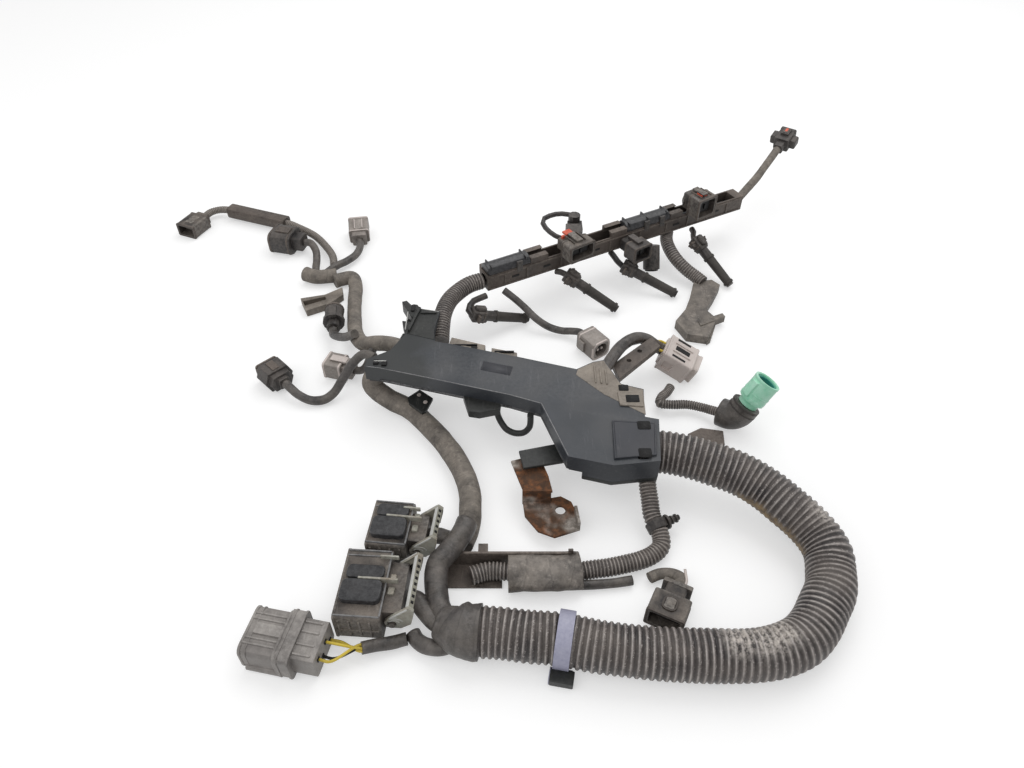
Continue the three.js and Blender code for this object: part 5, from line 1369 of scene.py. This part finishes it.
# %% Its four wires
origin, axes = grey
root = np.array(ROUTES["plug_lead"][0], float)
for (y, z), finish in zip(WIRE_ENDS, ("yellow", "dark", "yellow", "yellow")):
    far, near = ((origin / MM - SHIFT) + np.array([x, y, z]) @ axes for x in (-0.3, -9))
    out_of_tape = [root + [6, y * 0.1, z * 0.15], root + [-1, y * 0.2, z * 0.3]]
    wire("grey_wire_%d" % (y + 11), [*out_of_tape, near, far], 2.3, finish)
print("wires on the grey plug:", len(WIRE_ENDS))

# %% [markdown]
# ### Lower plug
# A flat plug that lies beside the wide conduit, with a round boss, a red lock on it, and one white wire
# that has worked loose beside its taped lead.

# %% Lower plug
lower = at_end("lower_lead")
details("lower_rim", lower, [rim(36, 38.4, 30.6, 18, 2, 1.6), block([17, -15.4, -3], [36, -14.4, 3]),
    block([17, 14.4, -3], [36, 15.4, 3]), upright_rim(rounded_at(19, 33, -6, 6, 5), 8.4, 10, 1.8)], "brown")
details("lower_lock", lower, [prism(rounded_at(22, 30.5, -3, 3, 2.4), 8.4, 9.6)], "red", soft=0.3)
# Painted shade: a dark block inside the mouth where the cells lie.
details("lower_cell_shade", lower, [block([28, -10, -4], [31, 10, 4])], "dark", soft=0.3)
tail, (ahead, aside, _) = lower[0] / MM - SHIFT, lower[1]
wire("lower_white_wire", [tail - 14 * ahead + [2, 3, 3], tail - 6 * ahead + 5 * aside + [0, 0, 3],
    tail + 4.5 * aside + [0, 0, 2]], 2.4, "light")

# %% [markdown]
# ### Small plugs
# The small plugs on the left and right are made the same way: rims at the mouth and behind it, a latch or two
# ribs on top, and inside a dark block of painted shade where the cells lie. The mint one is round, with a
# blue green ring in its mouth and a rubber boot behind it.

# %% Left plugs
sensor, round_end, oval, upright, small = (at_end(n) for n in ("sensor_lead", "round_lead", "oval_lead",
    "upright_lead", "small_lead"))
square = aim((-163, -42, 12.3), (-1, 0.3, 0))
details("sensor_rim", sensor, [rim(32, 34.3, 24.6, 18.6, 3, 1.5), rim(27.4, 29, 26, 20, 3, 2),
    block([12, -4, 11.4], [26, 4, 13])], "brown")
details("round_rim", round_end, [rim(31, 33.4, 22, 22, 10.9, 1.8), rim(12, 14, 20, 20, 9.9, 1.4)], "brown")
details("oval_rim", oval, [rim(37.6, 40.3, 34.6, 27.6, 8, 1.8), rim(14, 16, 34.5, 27.5, 8, 1.2),
    block([16, -6, 13], [34, 6, 15])], "brown")
# Painted shade: a dark block inside the mouth where the cells lie.
details("oval_cell_shade", oval, [block([24, -10, -6], [27, 10, 6])], "dark")
details("upright_rim", upright, [rim(33.6, 36.3, 25.6, 19.6, 3, 1.5), rim(8, 10, 25.4, 19.4, 3, 1),
    block([12, -5.4, 9], [30, -4, 11]), block([12, 4, 9], [30, 5.4, 11])], "light")
details("square_rim", square, [rim(28, 30.3, 22.6, 20.6, 3, 1.4), rim(11, 13, 22.4, 20.4, 3, 1),
    block([6, -4, 9.6], [24, 4, 12.4])], "light")
# Painted shade: a dark block inside the mouth where the cells lie.
details("square_cell_shade", square, [block([19, -5, -4], [23, 5, 4])], "dark")
details("small_rim", small, [rim(34, 36.3, 27.6, 17.6, 2, 1.5), rim(6, 8, 27.4, 17.4, 2, 1)], "brown")

# %% Right plugs
pale, white, mint = (at_end(n) for n in ("pale_lead", "white_lead", "boot"))
details("pale_rim", pale, [rim(25.4, 27.4, 23.6, 22, 6, 2.2), rim(3, 5, 23.4, 21.6, 3, 1)], "light")
# Painted shade: a dark disk and block inside the mouth where the cells lie.
details("pale_cell_shade", pale, [drum((17, 0, 0), (19.5, 0, 0), 6.4), block([18, -2, -3], [24, 2, 3])], "dark")
details("pale_core", pale, [drum((18, y, 0), (25, y, 0), 1.6, sides=12) for y in (-2.6, 2.6)], "light",
    soft=0.2)
details("white_rim", white, [rim(38, 40.4, 26.6, 21.6, 4, 1.6), rim(31, 33.4, 34.6, 25.6, 3, 1.4),
    rim(2, 4, 34.5, 25.5, 3, 1.2), block([8, -7, 12.2], [28, -5, 14]),
    block([8, 5, 12.2], [28, 7, 14])], "light")
# Painted shade: dark strips in the openings on top and a dark block inside the mouth.
details("white_opening_shade", white, [block([10, -3, 12], [26, 3, 12.9]), block([9, 11, 12], [24, 14, 12.8]),
    block([9, -14, 12], [24, -11, 12.8]), block([28, -8, -5], [33, 8, 5])], "dark", soft=0.3)
back, (ahead, aside, above) = white[0] / MM - SHIFT, white[1]
for k, (y, z) in enumerate(((7, 4), (-7, 5), (0, -5))):
    wire("white_wire_%d" % k, [back - 12 * ahead + 0.3 * y * aside,
        back - 6 * ahead + y * aside + z * above * 0.7, back + 1 * ahead + y * aside + z * above],
        2.6, "yellow")
details("mint_rings", mint, [rim(28, 30.3, 26.4, 26.4, 13.1, 2), rim(8, 10.5, 26.6, 26.6, 13.2, 1.4),
    rim(14, 15.4, 26.6, 26.6, 13.2, 1)], "green")
details("mint_inner", mint, [rim(22, 28.5, 21.6, 21.6, 10.7, 2.4)], "teal")
# Painted shade: a dark disk inside the round mouth where the cells lie.
details("mint_cell_shade", mint, [drum((17, 0, 0), (23, 0, 0), 5.6)], "dark")
details("boot_rings", mint, [rim(-3, -0.4, 29, 29, 14.4, 3), rim(-8, -6, 29.4, 29.4, 14.6, 3)], "rubber",
    soft=0.6)
print("plugs finished")

# %% [markdown]
# ## Free cords
# Each branch that could be bent by hand is counted as a free cord. Wide ones are stiff. Stubs shorter than
# six diameters don't bend, and are left out.

# %% Counting the free cords
SHORTEST, SHORTEST_IN_DIAMETERS = 0.03, 6  # metres, and diameters
# A sleeve on the plug, a hose that the trough holds at both ends, and the tape round the lower branch.
NOT_FREE = {"boot", "loop", "lower_wrap"}
declared = 0
for piece, name, diameter, line, along in CORDS:
    length = float(along[-1])
    if length < max(SHORTEST, SHORTEST_IN_DIAMETERS * diameter) or name in NOT_FREE:
        continue
    declared += 1
print("branches:", len(CORDS), "of which free cords:", declared)
